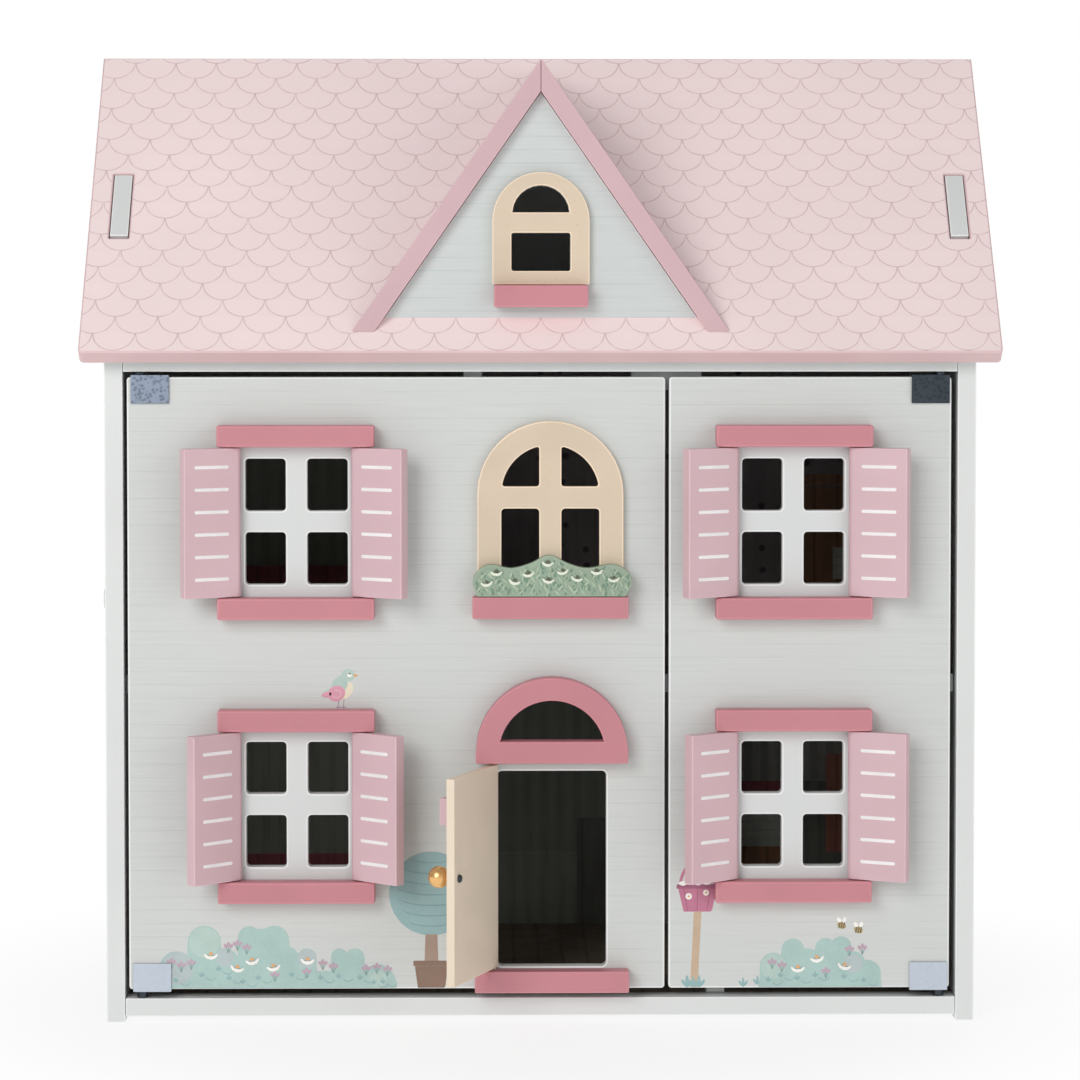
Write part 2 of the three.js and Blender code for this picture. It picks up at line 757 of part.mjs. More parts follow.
function lowerPane(side) {
  const xs = [archX + side * archMullion / 2, archX + side * archInnerRadius].sort((a, b) => a - b);
  return roundedRect(xs[0], archSillZ + archPaneBottom, xs[1], archZ + archTransomBottom, paneCorner);
}

function archFrame() {
  const outline = archShape(archX, archSillZ + seam, archZ, archOuterRadius);
  const panes = [-1, 1].flatMap((side) => [quarterPane(side), lowerPane(side)]);
  return cut(frontSlab(outline, -seam - overlay, -seam, 10),
    ...panes.map((pane) => frontSlab(pane, -seam - overlay - overlap, -seam + overlap, 10)));
}

// bush outline: round shoulders, a dip on each side, and a hump in the middle
function planter() {
  const x0 = archX + planterShift;
  const z0 = archSillZ + seam;
  const y0 = -seam - overlay - seam - planterThickness;
  const dip = planterShoulder - planterDip;
  const slope = dip + planterSlope;
  const edge = [[-0.47, 0], [-0.5, 0.45 * planterShoulder], [-0.47, 0.78 * planterShoulder],
    [-0.39, planterShoulder], [-0.26, dip], [-0.14, slope], [-0.02, planterHump],
    [0.1, slope], [0.22, dip], [0.38, planterShoulder], [0.48, 0.75 * planterShoulder],
    [0.5, 0.4 * planterShoulder], [0.46, 0]];
  const shape = new THREE.Shape();
  shape.moveTo(x0 + edge[0][0] * planterWidth, z0);
  shape.splineThru(edge.slice(1).map(([x, z]) => new THREE.Vector2(x0 + x * planterWidth, z0 + z)));
  shape.closePath();
  return frontSlab(shape, y0, y0 + planterThickness, 4);
}

function archSill() {
  return block(archX - archSillWidth / 2, archX + archSillWidth / 2, -seam - trimDepth, -seam,
    archSillZ - trimHeight, archSillZ);
}

function fanlightArch() {
  const arch = archShape(doorX, fanlightBottom, fanlightZ, fanlightRadius);
  arch.holes.push(segmentShape(doorX, fanlightZ, fanlightInner, fanlightZ + fanlightSill));
  return cut(frontSlab(arch, -seam - trimDepth, -seam, 12), upright(leafPinRadius + runGap,
    leafPivotX, leafPivotY, fanlightBottom - overlap, fanlightBottom + leafPinLength + boreSlack));
}

function doorStep() {
  return cut(block(doorX - stepWidth / 2, doorX + stepWidth / 2, -seam - trimDepth, -seam,
    stepTop - trimHeight, stepTop), upright(leafPinRadius + runGap, leafPivotX, leafPivotY,
    stepTop - leafPinLength - boreSlack, stepTop + overlap));
}

// ---------------------------------------------------------------- shutters and front door

// flat leaf in plan: half round at the pivot, square at the free edge on the given side
function leafPlan(x, y, width, thickness, side) {
  const r = thickness / 2;
  const shape = new THREE.Shape();
  const free = x + side * (width - r);
  shape.moveTo(free, y - side * r);
  shape.lineTo(free, y + side * r);
  shape.lineTo(x, y + side * r);
  const from = side > 0 ? Math.PI / 2 : -Math.PI / 2;
  shape.absarc(x, y, r, from, from + Math.PI);
  shape.closePath();
  return shape;
}

function leafSolid(plan, x, y, z0, z1, pinRadius, pinReach) {
  return join(extrude(plan, z1 - z0, 5).translate(0, 0, z0),
    upright(pinRadius, x, y, z0 - pinReach, z0 + overlap),
    upright(pinRadius, x, y, z1 - overlap, z1 + pinReach));
}

function shutter(x, z, side) {
  const pivot = x + side * shutterPivotX;
  const half = lintelSpacing / 2 - shutterEndGap;
  const plan = leafPlan(pivot, shutterPivotY, shutterWidth, shutterThickness, -side);
  return leafSolid(plan, pivot, shutterPivotY, z - half, z + half, shutterPinRadius,
    shutterEndGap + shutterPinLength);
}

function frontDoor() {
  const plan = leafPlan(leafPivotX, leafPivotY, leafWidth, leafThickness, 1);
  const knobHole = new THREE.CylinderGeometry(knobHoleRadius, knobHoleRadius,
    leafThickness + 2 * overlap, 12).translate(knobX, leafPivotY, knobZ);
  return leafSolid(plan, leafPivotX, leafPivotY, leafBottom, leafTop, leafPinRadius,
    leafEndGap + leafPinLength).subtract(solid(knobHole));
}

const knobX = leafPivotX + leafWidth - leafThickness / 2 - knobInset;
const knobZ = leafBottom + knobRise;
const leafFront = leafPivotY - leafThickness / 2;
const leafBack = leafPivotY + leafThickness / 2;

// ball on a neck, turned about the axis through the leaf
function doorKnob() {
  const start = Math.asin(knobNeckRadius / knobRadius);
  const profile = [new THREE.Vector2(0, 0), new THREE.Vector2(knobNeckRadius + knobFlare, 0)];
  const steps = 10;
  for (let i = 0; i <= steps; i += 1) {
    const angle = start + (Math.PI - start) * i / steps;
    profile.push(new THREE.Vector2(Math.max(0, knobRadius * Math.sin(angle)),
      knobNeckLength + knobRadius * (Math.cos(start) - Math.cos(angle))));
  }
  profile[profile.length - 1].x = 0;
  return new THREE.LatheGeometry(profile, 20).rotateX(Math.PI)
    .translate(knobX, leafFront - seam, knobZ);
}

// pan head inside the leaf, with its shank through it
function knobScrew() {
  const profile = [[0, 0], [screwRadius, 0], [screwRadius, screwRim],
    [screwRadius - screwRim, screwHead], [0, screwHead]].map(([r, y]) => new THREE.Vector2(r, y));
  const head = new THREE.LatheGeometry(profile, 16).translate(knobX, leafBack + seam, knobZ);
  const shank = new THREE.CylinderGeometry(screwShankRadius, screwShankRadius,
    leafThickness + seam, 10).translate(knobX, leafPivotY + seam, knobZ);
  return join(head, shank);
}

function letterBox() {
  const x = knobX + knobInset - boxInset;
  return block(x - boxWidth, x, leafFront - seam - boxDepth, leafFront - seam,
    leafBottom + boxRise, leafBottom + boxRise + boxHeight);
}

// ---------------------------------------------------------------- assembly

const house = new THREE.Group();
house.userData.pivot = new THREE.Vector3();

place(house,
  piece('side_wall_left', sideWall(-innerX - board), 'white'),
  piece('side_wall_right', sideWall(innerX), 'white'),
  piece('base_board', baseBoard(), 'white'),
  piece('first_floor_board', firstFloor(), 'white'),
  piece('attic_floor_board', atticFloor(), 'white'),
  piece('back_panel', backPanel(), 'white'),
  piece('upper_partition', partition(upperPartitionX, firstFloorTop), 'white'),
  piece('lower_partition', partition(lowerPartitionX, baseTop), 'white'),
  piece('rear_roof_panel', rearRoof(), 'scales'),
  piece('magnetic_catch', magneticCatch(), 'grey'),
  piece('wall_cap', wallCap(), 'white'));

const roofFront = hinged('roof_front_hinge', house, new THREE.Vector3(0, axisY, axisZ));
place(roofFront,
  piece('front_roof_panel', cut(roofBoard(), ...tabSlots(slotSwingGap), dormerMouth()), 'scales'),
  piece('dormer_board_left', dormerBoard(-1), 'mauve'),
  piece('dormer_board_right', dormerBoard(1), 'mauve'),
  piece('dormer_front', dormerSidingPanel(), 'siding'),
  piece('dormer_window_frame', dormerWindow(), 'cream'),
  piece('dormer_sill', dormerSill(), 'blush'));

for (const [label, side] of [['left', -1], ['right', 1]]) {
  const x = side * ridgeHingeX;
  place(house,
    piece(`ridge_hinge_fixed_leaf_${label}`, fixedLeaf(x), 'steel'),
    piece(`ridge_hinge_pin_${label}`, ridgePin(x), 'steel'));
  place(roofFront, piece(`ridge_hinge_moving_leaf_${label}`, movingLeaf(x), 'steel'));
}

const panels = {};
for (const [label, side, shape] of [['left', -1, leftPanel()], ['right', 1, rightPanel()]]) {
  const panel = hinged(`${label}_panel_hinge`, house, new THREE.Vector3(side * pivotX, pivotY, 0));
  place(panel,
    piece(`${label}_front_panel`, shape, 'siding'),
    piece(`${label}_upper_pivot_cap`, pivotCap(side, true), 'steel'),
    piece(`${label}_lower_pivot_cap`, pivotCap(side, false), 'steel'),
    piece(`${label}_strike_plate`, strike(side), 'steel'));
  panels[label] = panel;
}

place(panels.left,
  piece('arch_window_frame', archFrame(), 'cream'),
  piece('flower_planter', planter(), 'leaves'),
  piece('arch_window_sill', archSill(), 'blush'),
  piece('fanlight_arch', fanlightArch(), 'blush'),
  piece('door_step', doorStep(), 'blush'));

for (const [panelLabel, x] of [['left', windowLeftX], ['right', windowRightX]]) {
  for (const [storey, z] of [['upper', upperWindowZ], ['lower', lowerWindowZ]]) {
    const name = `${panelLabel}_${storey}`;
    place(panels[panelLabel],
      piece(`${name}_lintel`, lintel(x, z), 'blush'),
      piece(`${name}_sill`, sill(x, z), 'blush'));
    for (const [number, label, side] of [[0, 'left', -1], [1, 'right', 1]]) {
      const pivot = new THREE.Vector3(x + side * shutterPivotX, shutterPivotY, z);
      const open = side * shutterOpen[name][number];
      const group = hinged(`${name}_${label}_shutter_hinge`, panels[panelLabel], pivot, open);
      place(group, piece(`${name}_shutter_${label}`, shutter(x, z, side), 'mauve'));
    }
  }
}

const leafPivot = new THREE.Vector3(leafPivotX, leafPivotY, leafBottom);
const door = hinged('front_door_hinge', panels.left, leafPivot, -leafOpen);
place(door,
  piece('front_door', frontDoor(), 'cream'),
  piece('door_knob', doorKnob(), 'brass'),
  piece('knob_screw', knobScrew(), 'steel'),
  piece('letter_box', letterBox(), 'mauve'));

// origin at the middle of the base of the whole object's box
const whole = new THREE.Box3().setFromObject(house, true);
house.position.y = -(whole.min.y + whole.max.y) / 2;

export default house;
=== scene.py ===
import json
import math

import bmesh
import bpy
import numpy as np
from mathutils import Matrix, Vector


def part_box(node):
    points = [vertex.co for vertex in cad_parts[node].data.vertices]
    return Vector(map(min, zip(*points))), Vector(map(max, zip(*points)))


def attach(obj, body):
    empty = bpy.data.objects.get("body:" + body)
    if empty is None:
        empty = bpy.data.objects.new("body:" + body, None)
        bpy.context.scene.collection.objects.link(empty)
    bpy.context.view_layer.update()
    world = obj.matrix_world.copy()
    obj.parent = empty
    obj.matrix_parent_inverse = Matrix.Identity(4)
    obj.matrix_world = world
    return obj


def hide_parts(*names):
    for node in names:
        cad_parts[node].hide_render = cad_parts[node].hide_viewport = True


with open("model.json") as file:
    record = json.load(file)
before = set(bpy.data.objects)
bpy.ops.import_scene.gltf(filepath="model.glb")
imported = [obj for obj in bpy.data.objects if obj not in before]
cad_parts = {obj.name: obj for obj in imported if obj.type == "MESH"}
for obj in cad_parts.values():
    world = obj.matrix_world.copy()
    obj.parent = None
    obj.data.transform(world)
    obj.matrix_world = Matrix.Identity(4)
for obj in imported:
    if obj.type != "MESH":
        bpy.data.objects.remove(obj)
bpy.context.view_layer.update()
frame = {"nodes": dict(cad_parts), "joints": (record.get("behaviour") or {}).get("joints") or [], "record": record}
scene = bpy.context.scene
mm = 0.001

# ---- camera, light and floor

cameraSet = {
    "place": (-0.0298, -2.3913, 0.4844),
    "pitchDown": 2.222,  # degrees
    "yaw": -0.736,
    "lens": 116.13,
    "shift": -0.11,
}

lightSet = {
    "key": {"at": (-1.5, -2.7, 1.6), "size": 1.6, "power": 45.0},
    "fill": {"at": (2.2, -2.2, 0.9), "size": 2.0, "power": 13.0},
    "back": {"at": (0.6, 2.4, 2.0), "size": 1.8, "power": 20.0},
    "sky": 0.37,
    "backdrop": 1.0,
}

floorSet = {
    "radius": 30.0,
    "sides": 64,
    "colour": (0.93, 0.93, 0.93, 1.0),
    "plainFrom": 0.22,  # metres from the middle, where it starts to blend into the backdrop
    "plainTo": 0.50,
    "glow": 0.80,  # share of plain white even under the house
}


def makeCamera(s):
    data = bpy.data.cameras.new("camera")
    data.lens = s["lens"]
    data.sensor_width = 36.0
    data.shift_y = s["shift"]
    data.clip_start = 0.05
    data.clip_end = 50.0
    cam = bpy.data.objects.new("camera", data)
    scene.collection.objects.link(cam)
    cam.location = s["place"]
    cam.rotation_euler = (math.radians(90.0 - s["pitchDown"]), 0.0, math.radians(s["yaw"]))
    scene.camera = cam


def softBox(name, s):
    data = bpy.data.lights.new(name, "AREA")
    data.size = s["size"]
    data.energy = s["power"]
    lamp = bpy.data.objects.new(name, data)
    scene.collection.objects.link(lamp)
    lamp.location = s["at"]
    aim = np.array([0.0, 0.0, 0.3]) - np.array(s["at"])
    flat = math.hypot(aim[0], aim[1])
    lamp.rotation_euler = (math.atan2(flat, -aim[2]), 0.0, math.atan2(-aim[0], aim[1]))


def makeSky(s):
    world = bpy.data.worlds.new("studio")
    scene.world = world
    world.use_nodes = True
    tree = world.node_tree
    tree.nodes.clear()
    out = tree.nodes.new("ShaderNodeOutputWorld")
    mix = tree.nodes.new("ShaderNodeMixShader")
    path = tree.nodes.new("ShaderNodeLightPath")
    for slot, strength in ((1, s["sky"]), (2, s["backdrop"])):
        glow = tree.nodes.new("ShaderNodeBackground")
        glow.inputs["Color"].default_value = (1.0, 1.0, 1.0, 1.0)
        glow.inputs["Strength"].default_value = strength
        tree.links.new(glow.outputs[0], mix.inputs[slot])
    tree.links.new(path.outputs["Is Camera Ray"], mix.inputs[0])
    tree.links.new(mix.outputs[0], out.inputs[0])


makeCamera(cameraSet)
makeSky(lightSet)
for lampName in ("key", "fill", "back"):
    softBox(lampName, lightSet[lampName])
scene.view_settings.view_transform = "Standard"
print("camera and light ready")

# ---- small helpers for materials


def put(tree, kind, inputs=None, **settings):
    # adds a node, sets or links its inputs by name or number
    node = tree.nodes.new(kind)
    for key, value in settings.items():
        setattr(node, key, value)
    for key, value in (inputs or {}).items():
        feed(tree, node.inputs[key], value)
    return node


def feed(tree, socket, value):
    if isinstance(value, bpy.types.NodeSocket):
        tree.links.new(value, socket)
    else:
        socket.default_value = value


def calc(tree, kind, a, b=0.0, c=0.0):
    return put(tree, "ShaderNodeMath", {0: a, 1: b, 2: c}, operation=kind).outputs[0]


def blendColour(tree, factor, a, b, kind="MIX"):
    node = put(tree, "ShaderNodeMix", data_type="RGBA", blend_type=kind)
    for key, value in ((0, factor), (6, a), (7, b)):
        feed(tree, node.inputs[key], value)
    return node.outputs[2]


def ramp(tree, value, low, high, toLow=0.0, toHigh=1.0):
    return put(tree, "ShaderNodeMapRange", {0: value, 1: low, 2: high, 3: toLow, 4: toHigh},
               interpolation_type="SMOOTHSTEP").outputs[0]


def fromMiddle(tree, value, width):
    # distance from the middle of the stretch of this width that the value falls in, as a share of it
    part = calc(tree, "FRACT", calc(tree, "DIVIDE", value, width))
    return calc(tree, "ABSOLUTE", calc(tree, "SUBTRACT", part, 0.5))


def rgba(colour):
    return (*colour, 1.0)


def shade(colour, factor):
    return tuple(min(1.0, c * factor) for c in colour)


def ownCoordinates(tree, turn=(0.0, 0.0, 0.0), scale=(1.0, 1.0, 1.0), move=(0.0, 0.0, 0.0)):
    # a piece's own coordinates, in metres, through one Mapping node
    place = put(tree, "ShaderNodeTexCoord").outputs["Object"]
    return put(tree, "ShaderNodeMapping", {"Vector": place, "Rotation": turn, "Scale": scale,
                                           "Location": move}).outputs[0]


def noise(tree, vector, scale, detail=2.0, roughness=0.5):
    return put(tree, "ShaderNodeTexNoise", {"Vector": vector, "Scale": scale, "Detail": detail,
                                            "Roughness": roughness}).outputs["Fac"]


def startMaterial(name):
    material = bpy.data.materials.new(name)
    material.use_nodes = True
    tree = material.node_tree
    return material, tree, tree.nodes["Principled BSDF"]


def cloudy(tree, colour, spread, scale=14.0, vector=None):
    # the colour, a little lighter and darker in soft patches
    vector = vector or ownCoordinates(tree)
    patches = ramp(tree, noise(tree, vector, scale, 3.0), 0.3, 0.7)
    return blendColour(tree, patches, rgba(shade(colour, 1.0 - spread)),
                       rgba(shade(colour, 1.0 + spread)))


def finishSurface(tree, bsdf, colour, rough=0.45, roughSpread=0.08, bump=0.00003, grain=900.0,
                  stretch=(1.0, 1.0, 1.0), extraHeight=None):
    # colour, uneven gloss and a fine relief of rolled paint
    vector = ownCoordinates(tree, scale=stretch)
    fine = noise(tree, vector, grain, 4.0, 0.6)
    broad = noise(tree, vector, grain * 0.07, 3.0)
    height = calc(tree, "ADD", fine, calc(tree, "MULTIPLY", broad, 1.5))
    if extraHeight is not None:
        height = calc(tree, "ADD", height, extraHeight)
    relief = put(tree, "ShaderNodeBump", {"Height": height, "Distance": bump, "Strength": 1.0})
    feed(tree, bsdf.inputs["Base Color"], colour)
    feed(tree, bsdf.inputs["Roughness"], ramp(tree, broad, 0.3, 0.7, rough - roughSpread,
                                              rough + roughSpread))
    feed(tree, bsdf.inputs["Normal"], relief.outputs[0])


# ---- painted wood

paints = {
    "whitePaint": {"colour": (0.695, 0.710, 0.700), "spread": 0.015, "speck": 0.2},
    "rosePaint": {"colour": (0.545, 0.218, 0.250), "spread": 0.035, "speck": 0.35},
    "mauvePaint": {"colour": (0.635, 0.438, 0.472), "spread": 0.035, "speck": 0.35},
    "roofEdgePaint": {"colour": (0.666, 0.475, 0.480), "spread": 0.03, "speck": 0.3},
    "gablePaint": {"colour": (0.600, 0.405, 0.430), "spread": 0.03, "speck": 0.3},
    "creamPaint": {"colour": (0.655, 0.535, 0.405), "spread": 0.05, "speck": 1.0},
    "doorPaint": {"colour": (0.800, 0.680, 0.540), "spread": 0.03, "speck": 0.6},
    "leafPaint": {"colour": (0.290, 0.370, 0.275), "spread": 0.10, "speck": 0.5},
}

edgeHighlightAndWear = {  # paint on rounded edges, made lighter: painted highlight where the edges catch light, and thinner paint there
    "whitePaint": 1.22,
    "rosePaint": 1.16,
    "mauvePaint": 1.12,
    "roofEdgePaint": 1.10,
    "gablePaint": 1.10,
    "creamPaint": 1.42,
    "doorPaint": 1.08,
    "leafPaint": 1.15,
}


def paintedWood(name, s, lift=1.0):
    material, tree, bsdf = startMaterial(name)
    # lift over 1 makes the paint lighter; the Edge copies use it as a painted highlight with thinner paint
    colour = cloudy(tree, shade(s["colour"], lift), s["spread"])
    specks = ramp(tree, noise(tree, ownCoordinates(tree), 520.0, 2.0), 0.62, 0.74)
    warmer = [c * f for c, f in zip(shade(s["colour"], lift), (0.97, 0.90, 0.82))]
    colour = blendColour(tree, calc(tree, "MULTIPLY", specks, s["speck"]), colour, rgba(warmer))
    finishSurface(tree, bsdf, colour)
    return material


mats = {}
for paintName, paintSet in paints.items():
    mats[paintName] = paintedWood(paintName, paintSet)
    # each paint's Edge copy is lighter: painted highlight on rounded edges, and thinner paint there
    mats[paintName + "Edge"] = paintedWood(paintName + "Edge", paintSet, edgeHighlightAndWear[paintName])

# ---- printed siding: thin uneven lines, none round the windows

sidingSet = {
    "colour": (0.610, 0.628, 0.610),
    "plain": (0.655, 0.675, 0.665),
    "line": (0.545, 0.572, 0.548),
    "spacing": 8.75 * mm,
    "lineWidth": 0.42 * mm,
    "waver": 0.25 * mm,
    "windowMiddles": ((-160.0 * mm, 165.6 * mm), (330.2 * mm, 144.0 * mm)),  # in x and in z
    "windowHalf": (40.0 * mm, 49.3 * mm),
}


def sidingPrint(name, s, windows):
    material, tree, bsdf = startMaterial(name)
    vector = ownCoordinates(tree)
    axes = put(tree, "ShaderNodeSeparateXYZ", {0: vector})
    x, z = axes.outputs[0], axes.outputs[2]
    alongGrain = ownCoordinates(tree, scale=(6.0, 6.0, 220.0))
    streaks = noise(tree, alongGrain, 3.0, 4.0, 0.6)
    longNoise = noise(tree, ownCoordinates(tree, scale=(9.0, 9.0, 40.0)), 3.0, 2.0)
    lineNoise = noise(tree, ownCoordinates(tree, scale=(14.0, 14.0, 114.0)), 1.6, 3.0)
    wavered = calc(tree, "ADD", z, calc(tree, "MULTIPLY", calc(tree, "SUBTRACT", longNoise, 0.5),
                                        s["waver"] * 2.0))
    away = fromMiddle(tree, wavered, s["spacing"])
    half = s["lineWidth"] / s["spacing"]
    line = ramp(tree, away, half * 0.5, half * 1.3, 1.0, 0.0)
    strength = ramp(tree, lineNoise, 0.36, 0.62, 0.05, 0.9)
    line = calc(tree, "MULTIPLY", line, strength)
    base = blendColour(tree, ramp(tree, streaks, 0.3, 0.7), rgba(shade(s["colour"], 0.975)),
                       rgba(shade(s["colour"], 1.02)))
    colour = blendColour(tree, line, base, rgba(s["line"]))
    if windows:
        near = [calc(tree, "LESS_THAN", calc(tree, "MINIMUM", *[
            calc(tree, "ABSOLUTE", calc(tree, "SUBTRACT", place, w)) for w in middles]), half)
            for place, middles, half in zip((x, z), s["windowMiddles"], s["windowHalf"])]
        colour = blendColour(tree, calc(tree, "MULTIPLY", *near), colour, rgba(s["plain"]))
    finishSurface(tree, bsdf, colour, stretch=(0.3, 0.3, 1.0))
    return material


mats["sidingPrint"] = sidingPrint("sidingPrint", sidingSet, True)
mats["dormerPrint"] = sidingPrint("dormerPrint", {
    **sidingSet, "colour": (0.580, 0.615, 0.605), "line": (0.480, 0.550, 0.540)}, False)

# ---- printed roof scales

scaleSet = {
    "colour": (0.930, 0.768, 0.762),
    "line": (0.640, 0.430, 0.445),
    "width": 27.75 * mm,
    "lineWidth": 0.75 * mm,
    "eaveGap": 1.2 * mm,
    "pitch": math.radians(51.34),
    "board": 12.0 * mm,  # thickness of the roof boards
}


def scalePrint(name, s, eave, rear):
    # Rows of half circles. In each row the line is where the distance from a half circle's
    # centre, on the row's upper edge, equals its radius; every other row is moved half a width.
    material, tree, bsdf = startMaterial(name)
    axes = put(tree, "ShaderNodeSeparateXYZ", {0: ownCoordinates(tree)})
    depth = calc(tree, "SUBTRACT", axes.outputs[1], eave[0])
    if rear:
        depth = calc(tree, "MULTIPLY", depth, -1.0)
    rise = calc(tree, "SUBTRACT", axes.outputs[2], eave[1])
    slope = calc(tree, "ADD", calc(tree, "MULTIPLY", depth, math.cos(s["pitch"])),
                 calc(tree, "MULTIPLY", rise, math.sin(s["pitch"])))
    radius = s["width"] / 2.0
    up = calc(tree, "DIVIDE", calc(tree, "SUBTRACT", slope, s["eaveGap"]), radius)
    row = calc(tree, "FLOOR", up)
    across = calc(tree, "ADD", calc(tree, "DIVIDE", axes.outputs[0], s["width"]),
                  calc(tree, "MULTIPLY", row, 0.5))
    p = calc(tree, "MULTIPLY", calc(tree, "SUBTRACT", calc(tree, "FRACT",
             calc(tree, "ADD", across, 0.5)), 0.5), 2.0)
    q = calc(tree, "SUBTRACT", calc(tree, "SUBTRACT", up, row), 1.0)
    reach = calc(tree, "SQRT", calc(tree, "ADD", calc(tree, "MULTIPLY", p, p),
                                    calc(tree, "MULTIPLY", q, q)))
    off = calc(tree, "ABSOLUTE", calc(tree, "SUBTRACT", reach, 1.0 - s["lineWidth"] / s["width"]))
    worn = noise(tree, ownCoordinates(tree), 160.0, 2.0)
    half = s["lineWidth"] / s["width"]
    line = ramp(tree, off, half * 0.5, half * 1.4, 1.0, 0.0)
    line = calc(tree, "MULTIPLY", line, ramp(tree, worn, 0.3, 0.6, 0.45, 0.85))
    base = cloudy(tree, s["colour"], 0.02, 9.0)
    inner = ramp(tree, reach, 0.2, 1.0, 0.0, 0.25)
    base = blendColour(tree, inner, base, rgba(shade(s["colour"], 0.965)))
    colour = blendColour(tree, line, base, rgba(s["line"]))
    finishSurface(tree, bsdf, colour)
    return material


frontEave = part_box("front_roof_panel")[0]
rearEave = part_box("rear_roof_panel")[1]
eaveZ = frontEave.z + scaleSet["board"] * math.cos(scaleSet["pitch"])
mats["frontScales"] = scalePrint("frontScales", scaleSet, (frontEave.y, eaveZ), False)
mats["rearScales"] = scalePrint("rearScales", scaleSet, (rearEave.y, eaveZ), True)

# ---- metals and plastic

metals = {
    # the speckled and dark entries are copies of the caps' one zinc: painted sky reflection and painted shade
    "zinc": {"colour": (0.55, 0.61, 0.69), "rough": 0.42, "speck": 0.06},
    "zincSpeckledSkyReflection": {"colour": (0.17, 0.20, 0.255), "rough": 0.45, "speck": 0.7},
    "zincDarkShaded": {"colour": (0.040, 0.050, 0.060), "rough": 0.40, "speck": 0.45},
    "brass": {"colour": (0.86, 0.50, 0.20), "rough": 0.27, "speck": 0.08},
}


def metal(name, s):
    material, tree, bsdf = startMaterial(name)
    bsdf.inputs["Metallic"].default_value = 0.85
    vector = ownCoordinates(tree)
    crystals = put(tree, "ShaderNodeTexVoronoi", {"Vector": vector, "Scale": 420.0}).outputs["Distance"]
    specks = ramp(tree, crystals, 0.25, 0.6)
    colour = blendColour(tree, calc(tree, "MULTIPLY", specks, s["speck"]), rgba(s["colour"]),
                         rgba(shade(s["colour"], 1.9)))
    finishSurface(tree, bsdf, colour, s["rough"], 0.1, 0.00002, 1400.0)
    return material


for metalName, metalSet in metals.items():
    mats[metalName] = metal(metalName, metalSet)


def plastic(name, colour):
    material, tree, bsdf = startMaterial(name)
    finishSurface(tree, bsdf, cloudy(tree, colour, 0.03), 0.4, 0.05, 0.00002, 1600.0)
    return material


mats["greyPlastic"] = plastic("greyPlastic", (0.42, 0.43, 0.44))
print("materials ready", len(mats))

# ---- boards: copies of the plain solids with rounded edges

sharpAngle = math.radians(38.0)  # edges that turn more than this are rounded


def nodeBody(node):
    for body, nodes in frame["record"]["behaviour"]["bodies"].items():
        if node in nodes:
            return body
    return None


def showMesh(name, mesh, materials, body, replaced=()):
    piece = bpy.data.objects.new(name, mesh)
    scene.collection.objects.link(piece)
    for key in materials:
        mesh.materials.append(mats[key])
    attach(piece, body)
    if replaced:
        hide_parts(*replaced)
    return piece


def facesWay(face, way):
    return np.dot(face.normal, way) > 0.999


def rounded(node, name, finish, width=0.6, segments=2, facing=(), pin=None, shortest=0.0):
    # A copy of the node with its corners merged and its sharp edges rounded. Faces turned like
    # a row of facing, (direction, finish), take that finish, and only their edges are rounded.
    # Rounded edges take the paint's lighter Edge version, a painted highlight with thinner paint, where it has
    # one. With pin, (middle height, finish, half height), faces further up or down take its finish. Edges under
    # shortest millimetres, as round a bore, stay sharp.
    mesh = bpy.data.meshes.new(name)
    bm = bmesh.new()
    bm.from_mesh(frame["nodes"][node].data)
    bmesh.ops.remove_doubles(bm, verts=bm.verts[:], dist=0.00002)
    bmesh.ops.dissolve_limit(bm, angle_limit=math.radians(1.0), verts=bm.verts[:],
                             edges=bm.edges[:])
    ways = [np.array(direction) / np.linalg.norm(direction) for direction, _ in facing]
    sharp = [e for e in bm.edges if e.is_manifold and e.is_convex
             and e.calc_face_angle(0.0) > sharpAngle and e.calc_length() > shortest * mm
             and (not ways or any(facesWay(face, way) for face in e.link_faces for way in ways))]
    edgeFinish = finish + "Edge" if finish + "Edge" in mats else finish
    keys = [finish, edgeFinish] + [key for _, key in facing] + ([pin[1]] if pin else [])
    bmesh.ops.bevel(bm, geom=sharp, offset=width * mm, offset_type="OFFSET", segments=segments,
                    profile=0.5, affect="EDGES", clamp_overlap=False, material=1)
    for number, way in enumerate(ways):
        for face in bm.faces:
            if face.material_index == 0 and facesWay(face, way):
                face.material_index = number + 2
    for face in bm.faces:
        face.smooth = True
        if pin and abs(face.calc_center_median().z - pin[0]) > pin[2]:
            face.material_index = len(keys) - 1
    bm.to_mesh(mesh)
    bm.free()
    mesh.set_sharp_from_angle(angle=math.radians(40.0))
    piece = showMesh(name, mesh, keys, nodeBody(node), (node,))
    weigh = piece.modifiers.new("faceNormals", "WEIGHTED_NORMAL")
    weigh.keep_sharp = True
    return piece


pitch = scaleSet["pitch"]
slopeUp = (0.0, -math.sin(pitch), math.cos(pitch))
rearUp = (0.0, math.sin(pitch), math.cos(pitch))
toFront = (0.0, -1.0, 0.0)
boreEdge = 1.2  # longer than a side of a pin's bore, mm

